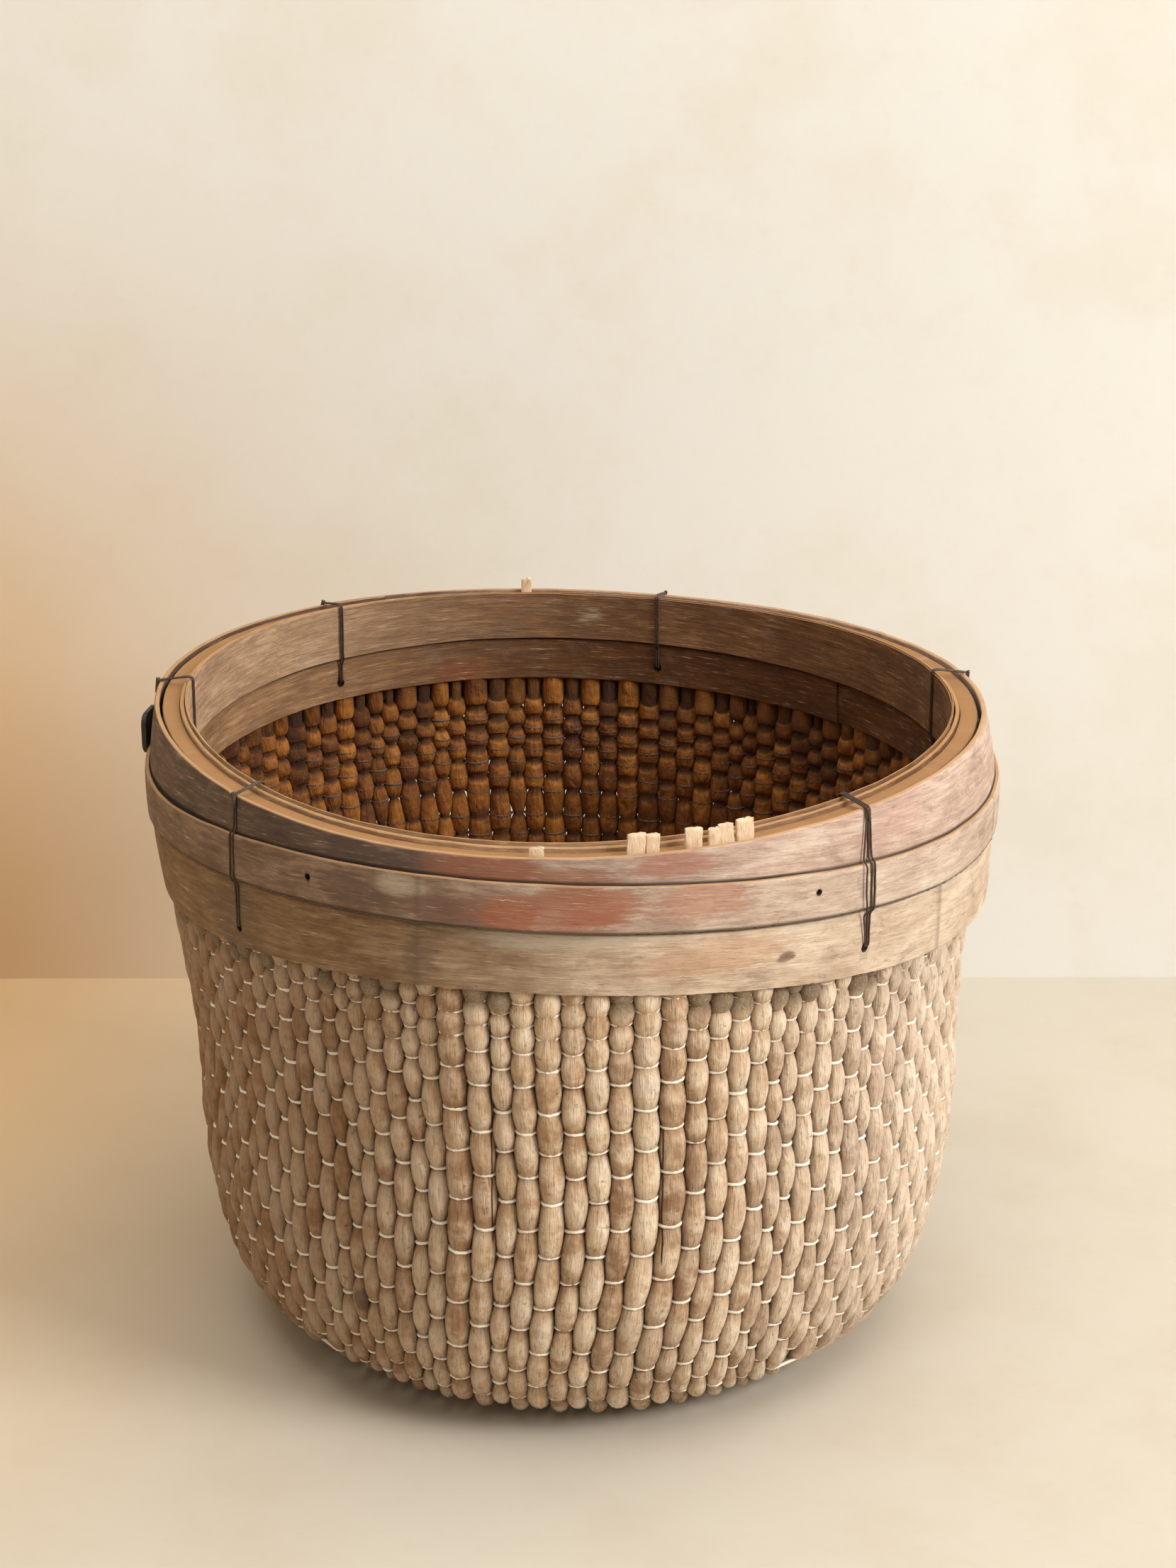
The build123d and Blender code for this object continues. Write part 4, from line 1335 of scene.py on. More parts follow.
def drilled(piece, holes):
    """The piece with round holes through it, each given by angle, height and diameter."""
    mesh, drill = bpy.data.meshes.new("drills"), bmesh.new()
    for angle, height, diameter in holes:
        turn = Matrix.Rotation(angle, 4, "Z") @ Matrix.Rotation(pi / 2, 4, "Y")
        place = Matrix.Translation(rim_place(angle, rim_radius, height) * mm) @ turn
        bmesh.ops.create_cone(
            drill, cap_ends=True, segments=14, radius1=diameter * mm / 2, radius2=diameter * mm / 2,
            depth=drill_length, matrix=place,
        )
    drill.to_mesh(mesh)
    drill.free()
    drills = placed("drills", mesh)
    cut = piece.modifiers.new("holes", "BOOLEAN")
    cut.operation, cut.solver, cut.object = "DIFFERENCE", "EXACT", drills
    name = piece.name
    piece.name = name + "_blank"
    holed = plain_mesh(name, piece)
    bpy.data.objects.remove(drills)
    return holed


print("tie holes and nail holes are drilled", round(drill_length / mm), "mm deep")

# %% [markdown]
# The strip itself is a long tube of such sections. At each step we ask for its two edges, let them wander
# and fray, cup the face a little, and add what the flares, the knots and the bulge say. Values for the
# material are stored at each point: the run, the height, cut edges, knots and the distance from the seam,
# along which the bamboo paints a dark line of shade.

# %% A bent strip


def bent_strip(
    name, layers, material, steps=720, ragged=0.0, flares=(), knots=(), cup=0.25, holes=(), bulge=0.0,
    seam=None,
):
    """One object of strips bent round the rim; a layer is (inner radius, thickness, low, high, start)."""
    verts, faces, runs, heights, cuts, marks, seams = [], [], [], [], [], [], []
    for number, (inner, thickness, low, high, start) in enumerate(layers):
        base = len(verts)
        for n in range(steps + 1):
            turn = (2 * pi + lap_angle) * n / steps
            seat, thick = lap(turn, 2 * pi + lap_angle - turn, thickness)
            angle = radians(start) + turn
            way = Vector((cos(angle), sin(angle), number * 3.0))
            wave = 0.22 * noise.noise(way * 9.0)
            fray = ragged * (noise.noise(way * 90.0) * 0.6 + noise.noise(way * 300.0) * 0.4)
            floor_z = low(angle) + 0.35 * noise.noise(way * 6.0) + fray
            top_z = high(angle) + 0.25 * noise.noise(way * 11.0 + Vector((4, 0, 0)))
            knot = sum(near_angle(angle, middle, 0.5) for middle in knots)
            loop = strip_loop(thick, top_z - floor_z)
            for depth, height, cut in loop:
                rise = height / (top_z - floor_z)
                out = wave + (cup * (1 - (2 * rise - 1) ** 2) + 0.35 * knot) * (depth > thick * 0.6)
                for middle, width, end, reach in flares:
                    out += reach * near_angle(angle, middle, width) * (rise if end else 1 - rise) ** 2
                out += bulge * stand_off(angle, floor_z + height)
                verts.append(rim_place(angle, inner + seat + depth + out, floor_z + height) * mm)
                runs.append((turn * inner + number * 700.0) * mm)
                heights.append(height * mm)
                cuts.append(float(cut))
                marks.append(knot)
                # Distance from the seam line, where the bamboo paints a dark line of shade.
                seams.append(floor_z + height - seam(angle) if seam else 99.0)
        size = len(loop)
        for n in range(steps):
            for m in range(size):
                a, b = base + n * size + m, base + n * size + (m + 1) % size
                faces.append((a, a + size, b + size, b))
        faces.append(tuple(base + m for m in range(size)))
        faces.append(tuple(base + steps * size + m for m in reversed(range(size))))
    mesh = bpy.data.meshes.new(name)
    mesh.from_pydata(verts, [], faces)
    stored = {"run": runs, "rise": heights, "cut": cuts, "knot": marks, "seam": seams}
    for label, values in stored.items():
        store(mesh, label, values)
    mesh.materials.append(material)
    piece = placed(name, mesh)
    if holes:
        piece = drilled(piece, holes)
    piece.data.shade_smooth()
    piece.data.set_sharp_from_angle(angle=radians(40))
    print(name, len(piece.data.polygons), "faces")
    return piece


print("every strip laps over its end by", round(degrees(lap_angle)), "degrees")

# %% [markdown]
# Where the wire ties go: each sits in the gap between two rods that is nearest to its place.

# %% Tie places

tie_angles = {
    "front_left": -140, "front_right": -46, "right_back": 14, "back": 75, "back_left": 128, "left": 170,
}


def rod_gap_angle(angle):
    places = []
    for back in (False, True):
        places += [long_place(i, wall_rows[0], back) for i in range(long_rod_count)]
        places += [side_place(j, wall_rows[0], back) for j in range(side_rod_count)]
    angles = sorted(atan2(p.y - rim_centre.y, p.x - rim_centre.x) for p in places)
    angles.append(angles[0] + 2 * pi)
    gaps = [(a + b) / 2 for a, b in zip(angles, angles[1:])]
    return min(gaps, key=lambda gap: abs((gap - radians(angle) + pi) % (2 * pi) - pi))


def outer_hole_height(angle):
    return max(bottom_line(angle) + 9.0, 234.5)


def inner_hole_height(angle):
    return inner_bottom_line(angle) + 9.0


tie_places = {name: rod_gap_angle(angle) for name, angle in tie_angles.items()}
outer_holes = [(angle, outer_hole_height(angle), 4.0) for angle in tie_places.values()]
inner_holes = [(angle, inner_hole_height(angle), 4.0) for angle in tie_places.values()]
nail_spots = ((-124.0, 1.0), (-55.6, 2.0))
nail_holes = [(radians(angle), middle_line(radians(angle)) + lift, 3.0) for angle, lift in nail_spots]
print("ties at", [round(degrees(angle)) for angle in tie_places.values()])

# %% [markdown]
# ## Weathered bamboo
# All strips share one kind of wood: long fine fibres, slow clouds of grey and tan, pale cut edges and
# darker knots. Each strip gets its own pair of palettes, one for its left half and one for its right,
# because the left half has darkened with age and because light and shade are painted in: painted shade on
# the darker half, painted light on the paler one. Stains are put on by their place on the rim.

# %% Bamboo


def bamboo(name, left, right, stains=(), edge=(176, 136, 92), grain=1.0, turn=0.0):
    """Weathered bamboo, whose left and right halves have (dark, middle, light) tones of their own, partly
    age and partly painted light and shade.

    A stain is its angle, height, reach, how much lower than wide it is, strength and tone.
    """
    f = Finish(name)
    place = f.objects()
    x, y, _ = f.parts(place)
    skin = f.vector(x=f.attribute("run"), y=f.attribute("rise"), z=0.0)
    cut, knot = f.attribute("cut"), f.attribute("knot")
    fibres = f.noise(f.stretch(skin, 0.05, 1.0), 1500.0, detail=4.0, rough=0.65)
    streaks = f.noise(f.stretch(skin, 0.10, 1.0), 420.0, detail=5.0, rough=0.7, warp=0.25)
    clouds = f.noise(f.stretch(skin, 0.35, 1.0), 60.0, detail=6.0, rough=0.7)
    scuffs = f.noise(f.stretch(skin, 0.3, 1.0), 300.0, detail=6.0, rough=0.78)
    patches = f.noise(f.stretch(skin, 0.6, 1.0), 95.0, detail=4.0, rough=0.7, warp=0.6)
    shade = (clouds * 0.40 + streaks * 0.34 + scuffs * 0.26).ramp(0.34, 0.66)
    palettes = []
    for dark, middle, light in (left, right):
        palettes.append(f.colours(shade, (0.0, tone(*dark)), (0.5, tone(*middle)), (1.0, tone(*light))))
    # The split between the palettes paints light and shade across the rim, along with the bamboo's own
    # ageing.
    side = (x * cos(turn) + y * sin(turn) + (clouds - 0.5) * 0.12).ramp(-0.11, 0.12)
    colour = f.blend(side, *palettes)
    colour = f.blend(patches.ramp(0.54, 0.66) * 0.35, colour, tone(118, 98, 84))
    for angle, height, reach, tall, strength, stain in stains:
        centre = rim_place(radians(angle), rim_radius, height) * mm
        ragged = (clouds - 0.5) * (reach * mm * 1.6) + (streaks - 0.5) * (reach * mm * 1.6)
        mask = f.near(place, centre, reach * mm, tall, ragged) * strength
        mask = mask * (scuffs * 0.9 + streaks * 0.7 - 0.05)
        colour = f.blend(mask.clamp(), colour, tone(*stain))
    lines = fibres.ramp(0.56, 0.72) * 0.5 * grain
    colour = f.blend(lines, colour, tone(86, 62, 44))
    pale = fibres.ramp(0.44, 0.30) * streaks.ramp(0.42, 0.60) * 0.55
    colour = f.blend(pale, colour, tone(232, 214, 190))
    specks = scuffs.ramp(0.60, 0.70) * 0.5
    colour = f.blend(specks, colour, tone(74, 56, 46))
    colour = f.blend(knot.clamp() * 0.45, colour, tone(104, 82, 64))
    # Painted shade: a dark line along the seam, where one strip's edge meets the next.
    dirt_and_shade = f.attribute("seam").math("ABSOLUTE").ramp(1.9, 0.4) * (0.5 + clouds * 0.7)
    colour = f.blend(dirt_and_shade.clamp(), colour, tone(28, 19, 14))
    colour = f.blend(cut * (scuffs * 0.8 + 0.45).clamp(), colour, tone(*edge))
    height = fibres * 0.8 * grain + streaks * 0.9 + clouds * 0.6 + scuffs * 0.5
    return f.finish(colour, 0.62 + scuffs * 0.25, f.bump(height, 0.6, 0.0007))


print("a bamboo takes two palettes, stains, the tone of its cut edge and how strong its grain is")

# %% [markdown]
# The three outer strips differ in tone. Each one's left palette is darker and its right one paler, partly
# with age and partly as painted shade and painted light. Near the front they carry red and rusty stains,
# where the bamboo's skin has come off, and a few grey ones. Angles are in degrees, with the front at -90.

# %% Palettes of the outer strips
red, rust = (146, 92, 68), (152, 84, 54)
top_bamboo = bamboo(
    "bamboo_rim_top",
    ((68, 50, 38), (94, 72, 58), (126, 100, 82)), ((158, 130, 116), (190, 162, 146), (218, 198, 182)),
    stains=[
        (-99, 294, 30, 2.6, 1.1, red), (-90, 290, 26, 3.4, 0.8, red),
        (-76, 293, 24, 4.0, 0.8, (164, 108, 88)), (-40, 288, 34, 2.5, 0.45, (186, 144, 134)),
        (-116, 290, 30, 2.0, 0.8, (84, 66, 60)),
    ],
)
middle_bamboo = bamboo(
    "bamboo_rim_middle",
    ((92, 68, 50), (124, 96, 74), (160, 132, 106)), ((160, 134, 118), (192, 168, 150), (218, 200, 182)),
    stains=[
        (-110, 282, 15, 2.8, 0.7, (198, 182, 160)), (-101, 274, 15, 1.5, 1.0, (120, 84, 68)),
        (-91, 275, 36, 3.2, 0.75, (166, 104, 78)), (-96, 272, 15, 1.5, 0.8, rust),
        (-85, 277, 22, 2.0, 0.8, rust), (-90, 281, 24, 3.0, 0.7, red),
        (-106, 272, 14, 1.5, 1.0, (116, 82, 68)), (-72, 276, 26, 2.4, 0.8, (176, 122, 98)),
        (-118, 276, 20, 2.0, 0.7, (96, 76, 64)),
    ],
)
bottom_bamboo = bamboo(
    "bamboo_rim_bottom",
    ((98, 70, 42), (130, 98, 64), (158, 126, 90)), ((172, 146, 122), (204, 180, 156), (228, 210, 188)),
    stains=[
        (-85, 266, 60, 6.0, 0.9, (188, 176, 158)), (-60, 242, 6, 2.0, 1.2, (124, 94, 78)),
        (-108, 250, 12, 1.2, 0.8, (108, 86, 68)), (-70, 250, 44, 4.0, 0.6, (196, 150, 118)),
        (-140, 240, 34, 1.6, 0.6, (104, 82, 60)),
    ],
    grain=1.3,
)
print("outer strips:", top_bamboo.name, middle_bamboo.name, bottom_bamboo.name)

# %% [markdown]
# The inner strips are seen at the back, in the shade, and their palettes paint that shade in: dark brown on
# the right, paler on the left. The ply's edge and the lath between the strips are cut wood, so they are
# lighter and plainer.

# %% Palettes of the inner strips
inner_bamboo = bamboo(
    "bamboo_rim_inside",
    ((114, 80, 52), (148, 110, 74), (182, 146, 106)), ((58, 30, 4), (86, 48, 10), (116, 70, 20)),
    stains=[(85, 291, 14, 1.0, 0.9, (206, 176, 146)), (106, 257, 22, 2.0, 0.9, (134, 70, 38))],
    edge=(160, 120, 78), turn=0.45,
)
ply_edge = bamboo(
    "bamboo_ply",
    ((138, 106, 78), (174, 140, 108), (208, 178, 144)), ((82, 54, 30), (114, 76, 44), (150, 108, 68)),
    stains=[(85, 291, 14, 1.0, 0.9, (212, 184, 152))], edge=(176, 132, 82), turn=0.45,
)
honey_lath = bamboo(
    "honey_lath",
    ((104, 72, 42), (144, 104, 64), (178, 136, 90)), ((92, 62, 32), (130, 92, 52), (164, 122, 74)),
    edge=(150, 108, 64), grain=1.3,
)
print("bamboo kinds", 6)

# %% [markdown]
# Now the strips themselves. Each one's seat is the radius it lies on, and its edges are the lines
# above. The lining ply is laminated: thin sheets side by side, whose tops end at slightly different
# heights, which gives the fine lines seen along the rim.

# %% Seats and edges

outer_seat_radius, middle_seat_radius = 187.6, 190.3
inner_seat_radius, ply_seat_radius = 177.0, 175.5
filler_seat_radius, filler_bottom, filler_top = 179.2, 291.3, 296.4
middle_half_width = 10.5


def level(height):
    return lambda angle: height


def shifted(line, rise):
    """An edge that runs along another one, above it by the rise."""
    return lambda angle: line(angle) + rise


upper_edge, lower_edge = shifted(middle_line, middle_half_width), shifted(middle_line, -middle_half_width)


def sheets(inner, thickness, count, low, tops, starts):
    """Thin layers side by side in one strip's thickness."""
    each = thickness / count
    return [
        (inner + n * each, each * 0.97, low, level(basket_height + top), start)
        for n, top, start in zip(range(count), tops, starts)
    ]


print("the middle strip's edges at the front", lower_edge(radians(-90)), upper_edge(radians(-90)))

# %% [markdown]
# The list of strips names for each its slot, its bamboo and its shape: layers, knots, flares and
# holes. Angles are in degrees, with the front at -90.

# %% The rim's strips
strip_kinds = {
    "outer_strip_top": (
        "strips", top_bamboo,
        dict(
            layers=[(outer_seat_radius, 2.4, shifted(middle_line, 0.3), level(basket_height), 118)],
            knots=[-141, 35, 160], bulge=1.0, seam=upper_edge,
        ),
    ),
    "outer_strip_middle": (
        "strips", middle_bamboo,
        dict(
            layers=[(middle_seat_radius, 2.0, lower_edge, upper_edge, 60)], steps=1200, ragged=0.9,
            flares=[(-160, 14, 1, 1.5), (-93, 12, 0, 0.7), (-30, 9, 0, 1.0), (150, 20, 1, 0.8)],
            knots=[-107.5, -12, 100], holes=nail_holes, bulge=1.0, seam=lower_edge,
        ),
    ),
    "outer_strip_bottom": (
        "strips", bottom_bamboo,
        dict(
            layers=[(outer_seat_radius, 2.4, bottom_line, shifted(middle_line, -0.3), 152)],
            steps=1000, ragged=0.5, knots=[-108, -30, 80], holes=outer_holes, bulge=1.0,
            seam=shifted(lower_edge, -0.3),
        ),
    ),
    "inner_strip_top": (
        "inner_strips", ply_edge,
        dict(
            layers=sheets(inner_seat_radius, 2.1, 1, shifted(inner_ply_line, 6.0), (0.4,), (100,)),
            steps=480, cup=0.0,
        ),
    ),
    "inner_strip_bottom": (
        "inner_strips", inner_bamboo,
        dict(
            layers=[(inner_seat_radius, 2.0, inner_bottom_line, shifted(inner_ply_line, 5.7), 40)],
            ragged=0.3, cup=0.0, knots=[95, -160], holes=inner_holes, seam=inner_ply_line,
        ),
    ),
    "inner_lining_ply": (
        "inner_strips", ply_edge,
        dict(
            layers=sheets(ply_seat_radius, 1.2, 2, inner_ply_line, (1.4, 1.9), (140, -20)),
            steps=480, cup=0.0,
        ),
    ),
    "rim_filler": (
        "filler", honey_lath,
        dict(
            layers=[(filler_seat_radius, 8.1, level(filler_bottom), level(filler_top), 70)],
            steps=480, cup=0.0,
        ),
    ),
}
for name, (slot, material, shape) in strip_kinds.items():
    piece = bent_strip(name + "_bamboo", material=material, **shape)
    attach(piece, "root")
    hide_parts(name)

# %% [markdown]
# ## Wire ties
# A tie is two turns of dark wire: over the rim, down both sides and through the wall at its foot. Each
# corner of the route is rounded. The strands stray sideways a little, and the front right tie hangs
# slack on its left. A short twist closes the wire beside the rim's top.

# %% Rounding a route


def rounded(route, radius, steps=4):
    """A closed route of (out, up) corners with each corner eased."""
    eased = []
    for n, corner in enumerate(route):
        for other, order in ((route[n - 1], 0), (route[(n + 1) % len(route)], 1)):
            length = hypot(other[0] - corner[0], other[1] - corner[1])
            reach = min(radius, length * 0.45) / length
            eased.append((mix(corner[0], other[0], reach), mix(corner[1], other[1], reach), corner, order))
    points = []
    for first, last in zip(eased[::2], eased[1::2]):
        for step in range(steps + 1):
            t, (cx, cy) = step / steps, first[2]
            points.append((
                (1 - t) ** 2 * first[0] + 2 * t * (1 - t) * cx + t * t * last[0],
                (1 - t) ** 2 * first[1] + 2 * t * (1 - t) * cy + t * t * last[1],
            ))
    return points


def finely(points, spacing):
    """A closed list of flat points with more between any two that are far apart."""
    fine = []
    for a, b in zip(points, points[1:] + points[:1]):
        count = max(1, ceil(hypot(b[0] - a[0], b[1] - a[1]) / spacing))
        fine += [(mix(a[0], b[0], n / count), mix(a[1], b[1], n / count)) for n in range(count)]
    return fine


print("a rounded square has", len(finely(rounded([(0, 0), (9, 0), (9, 9), (0, 9)], 2.0), 3.0)), "points")

# %% [markdown]
# The wire lies on the faces of the strips, so its route is looked up from them: the proud middle strip
# lifts it, the hole below takes it through the wall, and inside it climbs over the ply's lower edge.

# %% The wire's route

wire_radius = 0.43
middle_face_radius, outer_face_radius = 192.5, 190.2
ply_face_radius, inner_face_radius = 175.4, 176.9


def strip_face(angle, height):
    """Reach of the outer strips' surface at a height: the middle strip stands proud of the others."""
    proud = abs(height - middle_line(angle)) < middle_half_width
    face = middle_face_radius if proud else outer_face_radius
    return face * rim_shape(angle) + stand_off(angle, height)


def tie_route(angle):
    """Corners of a tie as (out, up): down over the three outer strips, through, and up the inside."""
    shape, off = rim_shape(angle), wire_radius + 0.15
    inside, low_inside = ply_face_radius * shape - off, inner_face_radius * shape - off
    between = rod_line_radius * shape
    outer_hole, inner_hole = outer_hole_height(angle), inner_hole_height(angle)
    upper, under, ply = upper_edge(angle), lower_edge(angle), inner_ply_line(angle)
    outer = [(strip_face(angle, basket_height) + off, basket_height + off)]
    for height, sampled in (
        (upper + 2.0, upper + 2.0), (upper, upper - 1.0), (under, under + 1.0), (under - 2.5, under - 2.5),
    ):
        outer.append((strip_face(angle, sampled) + off, height))
    outer.append((strip_face(angle, outer_hole) + off, outer_hole + 1.0))
    outer.append((strip_face(angle, outer_hole) - 1.5, outer_hole))
    return outer + [
        (between, outer_hole), (between, inner_hole), (low_inside, inner_hole), (low_inside, ply - 3.0),
        (inside, ply), (inside, basket_height + 2.2 + off), (177.5 * shape, basket_height + 2.6 + off),
    ]


print("corners of the back tie's route", len(tie_route(tie_places["back"])))

# %% [markdown]
# The wire is dull iron: half metallic, dark grey, with brown rust in small marks.

# %% Dark wire


def wire_material():
    f = Finish("dark_wire")
    place = f.objects()
    rust_marks = f.noise(place, 420.0, detail=3.0).ramp(0.48, 0.68)
    colour = f.blend(rust_marks * 0.7, tone(74, 62, 54), tone(112, 80, 60))
    f.surface.inputs["Metallic"].default_value = 0.45
    return f.finish(colour, 0.55, f.bump(rust_marks, 0.3, 0.0002))


dark_wire = wire_material()
print("material", dark_wire.name)

# %% [markdown]
# Slack is how far each strand strays sideways, in millimetres. The front right tie has three strands,
# and the first hangs clear. The twist beside the rim is two short wires wound round each other.

# %% Ties
tie_slack = {
    "front_right": (-3.6, -0.4, 0.5), "front_left": (-0.6, 0.7), "left": (-0.7, 1.2),
    "right_back": (-0.6, 0.8),
}


def strand_strings(angle, out, across, slacks):
    """The strands of one tie: the route at the right place, each strand with its own slack."""
    strings, low = [], outer_hole_height(angle)
    for strand, slack in enumerate(slacks):
        string = []
        start = (strand - 0.5) * 1.15
        for reach, height in finely(rounded(tie_route(angle), 1.4, 3), 3.0):
            share = (height - low) / (basket_height - low)
            stray = slack * sin(pi * min(max(share, 0.0), 1.0)) ** 1.3 * (reach > 186.0 * rim_shape(angle))
            shake = 0.25 * noise.noise(Vector((height * 0.2, strand * 9.0, angle)))
            bow = 0.5 * abs(stray) ** 0.5 * (abs(slack) > 2)
            spot = rim_centre + out * (reach + bow) + across * (start + stray + shake)
            string.append((spot + Vector((0, 0, height)), wire_radius, 1.0))
        strings.append((string, 0.5))
    return strings


def twist_strings(angle, out, across):
    """Two short wires wound round each other, beside the top of the outer strip."""
    head = rim_centre + out * (strip_face(angle, basket_height) + 0.9) + Vector((0, 0, basket_height + 1.4))
    strings = []
    for side in (0.0, pi):
        string = []
        for n in range(33):
            turn, drop = side + n / 32 * 7.0 * pi, n / 32 * 6.5
            lean = across * (drop * 0.25 - 0.6) + out * (0.05 * drop)
            curl = out * (0.6 * cos(turn)) + across * (0.6 * sin(turn))
            string.append((head + curl + lean - Vector((0, 0, drop)), wire_radius, 1.0))
        strings.append((string, 0.5))
    return strings


for name, angle in tie_places.items():
    out, across = Vector((cos(angle), sin(angle), 0)), Vector((-sin(angle), cos(angle), 0))
    strands = strand_strings(angle, out, across, tie_slack.get(name, (-0.6, 0.6)))
    piece = round_strings("wire_tie_" + name + "_wire", strands, dark_wire, 7, closed=True)
    twist = twist_strings(angle, out, across)
    knot = round_strings("wire_tie_" + name + "_twist", twist, dark_wire, 7)
    for made in (piece, knot):
        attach(made, "root")
        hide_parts("wire_tie_" + name)

# %% [markdown]
# ## Slips and plate
# Slips of split cane are pushed down beside the filler, and a small dark plate hangs outside the left
# tie. The cane is fresher than the strips, so it is the palest wood on the basket.

# %% Split cane


def slip_material():
    f = Finish("split_cane")
    place, grain = f.objects(), f.attribute("slip", out="Vector")
    fibres = f.noise(f.stretch(grain, 1.0, 1.0, 0.12), 2600.0, detail=4.0, rough=0.65)
    stains = f.noise(place, 240.0, detail=4.0)
    colour = f.colours(
        fibres * 0.6 + stains * 0.4,
        (0.3, tone(190, 154, 122)), (0.5, tone(228, 200, 168)), (0.72, tone(246, 226, 200)),
    )
    return f.finish(colour, 0.72, f.bump(fibres, 0.7, 0.0006))


def tube_faces(base, rings, count):
    """Faces of a closed tube: rings of count points each, from point base on, and a cap at each end."""
    faces = []
    for n in range(rings - 1):
        for m in range(count):
            a, b = base + n * count + m, base + n * count + (m + 1) % count
            faces.append((a, b, b + count, a + count))
    faces.append(tuple(base + m for m in reversed(range(count))))
    faces.append(tuple(base + (rings - 1) * count + m for m in range(count)))
    return faces


split_cane = slip_material()
print("material", split_cane.name, "and a tube of", len(tube_faces(0, 2, 4)), "faces")

# %% [markdown]
# Each slip is a small upright block with worn corners and a torn top. The list gives its angle, how far
# it stands above the rim, and its width.

# %% Slips
slip_places = [
    (-93, 3.2, 6.0), (-80.8, 8.2, 7.6), (-78.6, 7.4, 5.6), (-73.2, 8.0, 7.4), (-70.4, 6.6, 5.4),
    (-68.4, 7.8, 6.6), (-65.9, 8.4, 8.0), (96, 6.0, 5.0),
]
slip_radius, around, levels = 186.3, 20, 11
verts, faces, grains = [], [], []
for number, (angle, rise, width) in enumerate(slip_places):
    angle, lean = radians(angle), noise.noise(Vector((number * 3.7, 0, 0))) * 0.16
    middle = rim_place(angle, slip_radius, 0)
    ahead = rim_place(angle + 0.01, slip_radius, 0) - rim_place(angle - 0.01, slip_radius, 0)
    ahead = ahead.normalized()
    out = Vector((ahead.y, -ahead.x, 0))
    low, top, base = filler_bottom, basket_height + rise, len(verts)
    for n in range(levels + 2):
        for m in range(around):
            turn = 2 * pi * m / around
            corner = max(abs(cos(turn)), abs(sin(turn)))
            wide, deep = cos(turn) / corner * width / 2, sin(turn) / corner * 1.0
            ease = 1.0 if n < levels else 0.62 if n == levels else 0.1
            torn = noise.noise(Vector((wide * 0.8, deep, number * 5.0))) * 1.1
            height = mix(low, top + torn, min(n / (levels - 1), 1.0)) + (0.35 if n >= levels else 0.0)
            chipped = noise.noise(Vector((m * 0.9, height * 0.3, number * 9.0)))
            worn = 1 - 0.07 * (corner < 0.75) + 0.09 * chipped
            side = wide * ease * worn + lean * (height - low)
            verts.append((middle + ahead * side + out * (deep * ease * worn) + Vector((0, 0, height))) * mm)
            grains.append((wide * mm, deep * mm, height * mm + number))
    faces += tube_faces(base, levels + 2, around)
mesh = bpy.data.meshes.new("rim_slips_cane")
mesh.from_pydata(verts, [], faces)
layer = mesh.attributes.new("slip", "FLOAT_VECTOR", "POINT")
layer.data.foreach_set("vector", [value for grain in grains for value in grain])
mesh.materials.append(split_cane)
mesh.shade_smooth()
mesh.set_sharp_from_angle(angle=radians(50))
slips = placed("rim_slips_cane", mesh)
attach(slips, "root")
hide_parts("rim_slips")
print("slips", len(mesh.polygons), "faces")

# %% [markdown]
# The plate is a dark square with round corners, worn like old leather. Its face is a shallow dish, so
# one outline is repeated, and a short list says how far out each copy lies and how large it is.

# %% Plate


def plate_material():
    f = Finish("dark_plate")
    place = f.objects()
    wear = f.noise(place, 160.0, detail=5.0, rough=0.65)
    colour = f.colours(wear, (0.35, tone(34, 30, 22)), (0.6, tone(52, 46, 34)), (0.75, tone(84, 74, 54)))
    return f.finish(colour, 0.6, f.bump(wear, 0.4, 0.0005))


def rounded_outline(half, corner, steps=6):
    """A square's outline with round corners."""
    outline = []
    for quarter in range(4):
        turn = quarter * pi / 2
        cx = (half - corner) * (1 if quarter in (0, 3) else -1)
        cy = (half - corner) * (1 if quarter in (0, 1) else -1)
        for n in range(steps + 1):
            angle = turn + n / steps * pi / 2
            outline.append((cx + corner * cos(angle), cy + corner * sin(angle)))
    return outline


plate_angle = tie_places["left"]
out = Vector((cos(plate_angle), sin(plate_angle), 0))
across = Vector((-sin(plate_angle), cos(plate_angle), 0))
plate_height = basket_height - 24.0
seat = strip_face(plate_angle, plate_height) + 1.6
verts = []
levels = [(0.0, 0.94), (0.4, 1.0), (2.2, 1.0), (2.8, 0.93), (3.0, 0.80), (2.5, 0.72), (2.4, 0.3)]
outline = rounded_outline(10.0, 5.0)
for depth, size in levels:
    for x, z in outline:
        spot = out * (seat + depth) + across * (x * size) + Vector((0, 0, plate_height + z * size))
        verts.append((rim_centre + spot) * mm)
mesh = bpy.data.meshes.new("rim_plate_leather")
mesh.from_pydata(verts, [], tube_faces(0, len(levels), len(outline)))
mesh.materials.append(plate_material())
mesh.shade_smooth()
mesh.set_sharp_from_angle(angle=radians(50))
plate = placed("rim_plate_leather", mesh)
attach(plate, "root")
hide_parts("rim_plate")
print("plate", len(mesh.polygons), "faces")

# %% [markdown]
# ## Floor, light and camera
# A pale floor and wall stand for the room, with a painted warm shade on the left, low down. Both are clear
# from behind, so that they hide nothing when the basket is looked at from below or from the back.

# %% Stage


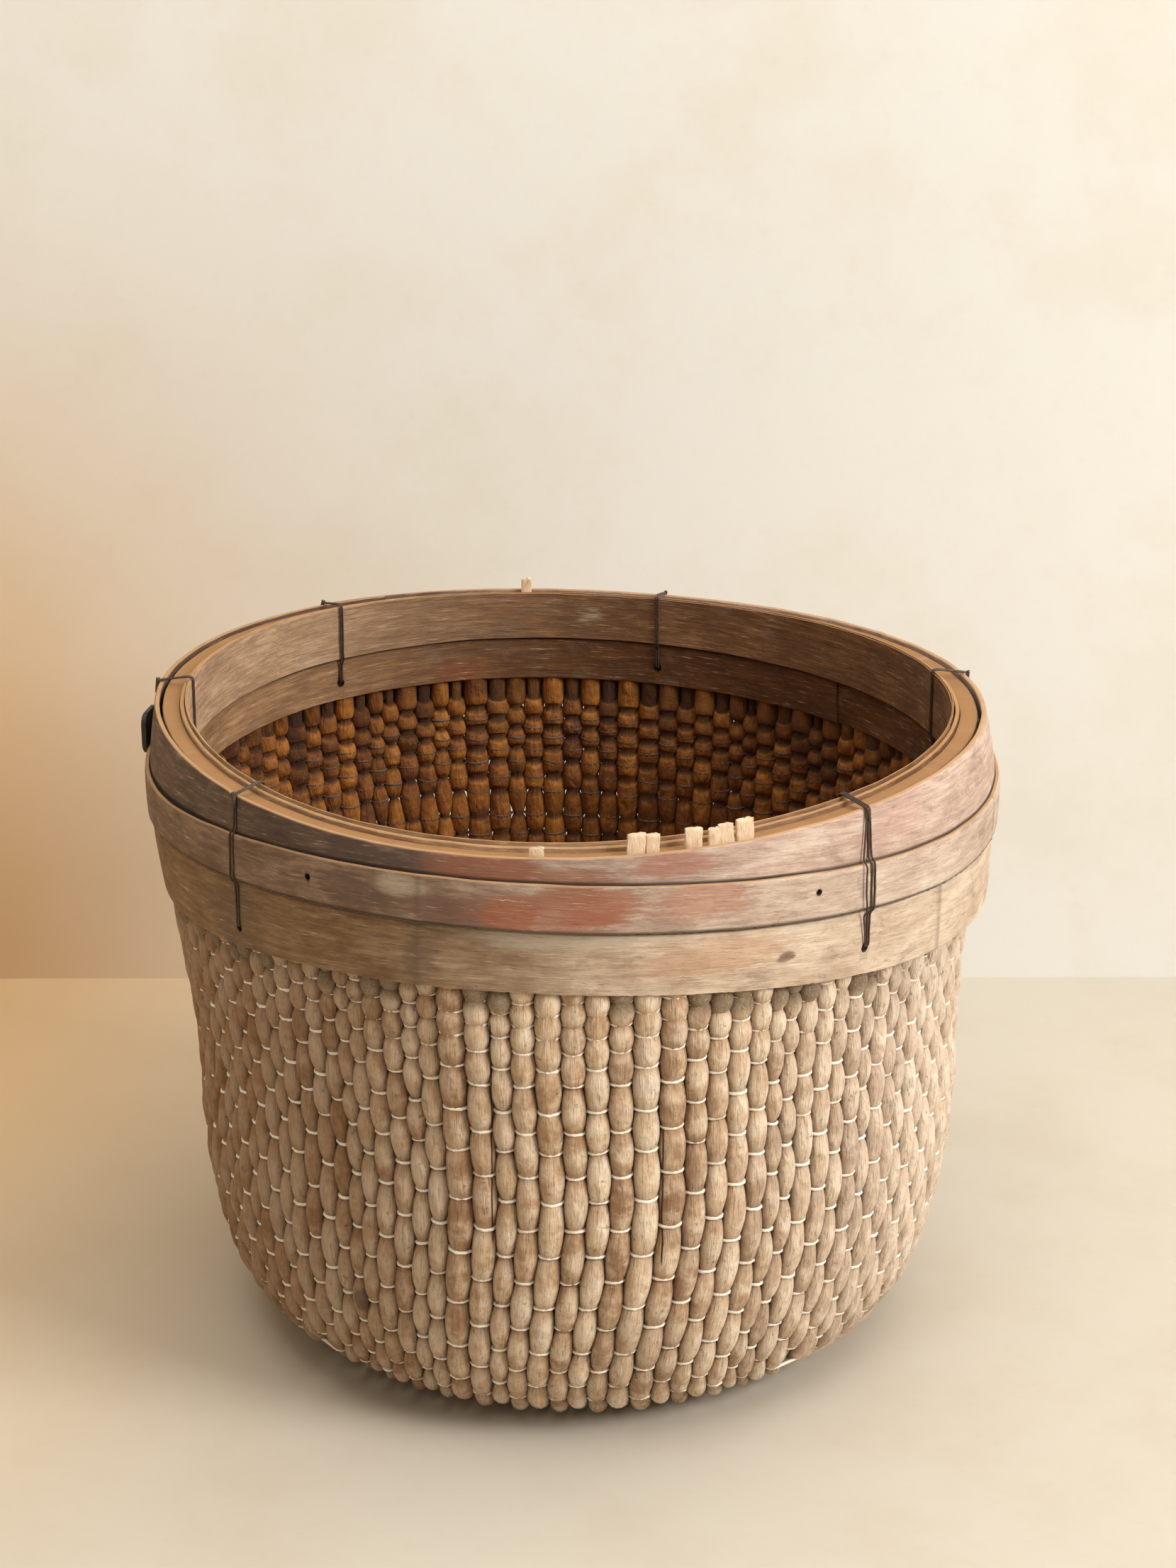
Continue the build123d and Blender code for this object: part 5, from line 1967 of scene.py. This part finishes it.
def stage_material(name, colour, patch, shaded, low):
    """Mottled plaster, with painted warm shade on the left below a height, and clear when it is seen from
    its back.
    """
    f = Finish(name)
    front = 1 - f.node("ShaderNodeNewGeometry", out="Backfacing")
    f.tree.links.new(front.output, f.surface.inputs["Alpha"])
    place = f.objects()
    x, y, z = f.parts(place)
    mottle = f.noise(place, 9.0, detail=5.0, rough=0.6)
    grain = f.noise(place, 120.0, detail=4.0, rough=0.7)
    plaster = f.blend((mottle.ramp(0.4, 0.7) * 0.5 + grain.ramp(0.5, 0.75) * 0.2).clamp(), colour, patch)
    # Painted shade: warmer and darker on the left, low down and towards the back.
    left_shade = x.ramp(0.0, -0.42) * z.ramp(low + 0.45, low) * y.ramp(-0.5, 0.3)
    return f.finish(f.blend(left_shade * 0.85, plaster, shaded), 0.9)


def plane(name, corners, material):
    mesh = bpy.data.meshes.new(name)
    mesh.from_pydata([Vector(c) for c in corners], [], [tuple(range(len(corners)))])
    mesh.materials.append(material)
    made = placed(name, mesh)
    return made


ground, backdrop_y, reach = -0.0011, 0.38, 3
floor_finish = stage_material(
    "pale_floor", tone(198, 191, 178), tone(189, 179, 162), tone(214, 178, 126), 0.1,
)
wall_finish = stage_material(
    "pale_wall", tone(230, 229, 224), tone(223, 217, 202), tone(212, 170, 112), 0.1,
)
front = [(-reach, -reach, ground), (reach, -reach, ground)]
joint = [(reach, backdrop_y, ground), (-reach, backdrop_y, ground)]
above = [(reach, backdrop_y, reach), (-reach, backdrop_y, reach)]
plane("floor", front + joint, floor_finish)
plane("backdrop", joint[::-1] + above, wall_finish)
print("the ground lies", round(-ground / mm, 1), "mm below zero, under the lowest bellies of the rods")

# %% [markdown]
# A big soft lamp stands for the window at the right. A weaker one hangs above, a faint warm one fills
# the left, and the world adds the light that comes from everywhere.

# %% Lamps


def soft_lamp(name, place, target, size, power, colour):
    light = bpy.data.lights.new(name, "AREA")
    light.shape, light.size, light.energy, light.color = "SQUARE", size, power, colour
    lamp = placed(name, light)
    lamp.location = place
    lamp.rotation_euler = (Vector(target) - Vector(place)).to_track_quat("-Z", "Y").to_euler()
    return lamp


soft_lamp("window", (2.55, -1.54, 1.96), (0, 0, 0.18), 1.33, 94.0, (1.0, 0.99, 0.965))
soft_lamp("ceiling", (0.1, -0.2, 2.3), (0, 0, 0), 2.4, 46.0, (1.0, 0.965, 0.90))
soft_lamp("room", (-1.2, -1.8, 1.6), (0, 0, 0.2), 1.6, 3.0, (1.0, 0.80, 0.58))
world = bpy.data.worlds.new("soft_room")
bpy.context.scene.world = world
world.use_nodes = True
sky = world.node_tree.nodes["Background"]
sky.inputs["Color"].default_value = (1.0, 0.86, 0.68, 1.0)
sky.inputs["Strength"].default_value = 0.34
print("lamps", [light.name for light in bpy.data.lights])

# %% [markdown]
# The camera stands where the photographer stood. Its place and its lens were fitted to the rim's and
# the foot's outlines: the lens is the fitted focal length over the picture's width, both in pixels.

# %% Camera

camera_data = bpy.data.cameras.new("camera")
camera_data.sensor_fit = "HORIZONTAL"
camera_data.sensor_width = 36.0
camera_data.lens = 4894.6 / 1659 * 36.0
camera = placed("camera", camera_data)
camera.location = (0.0069, -1.5105, 0.81635)
camera.rotation_euler = (radians(90 - 20.187), 0, radians(-0.202))
bpy.context.scene.camera = camera
bpy.context.scene.view_settings.view_transform = "Standard"
print("lens", round(camera_data.lens, 1), "mm")

# %% [markdown]
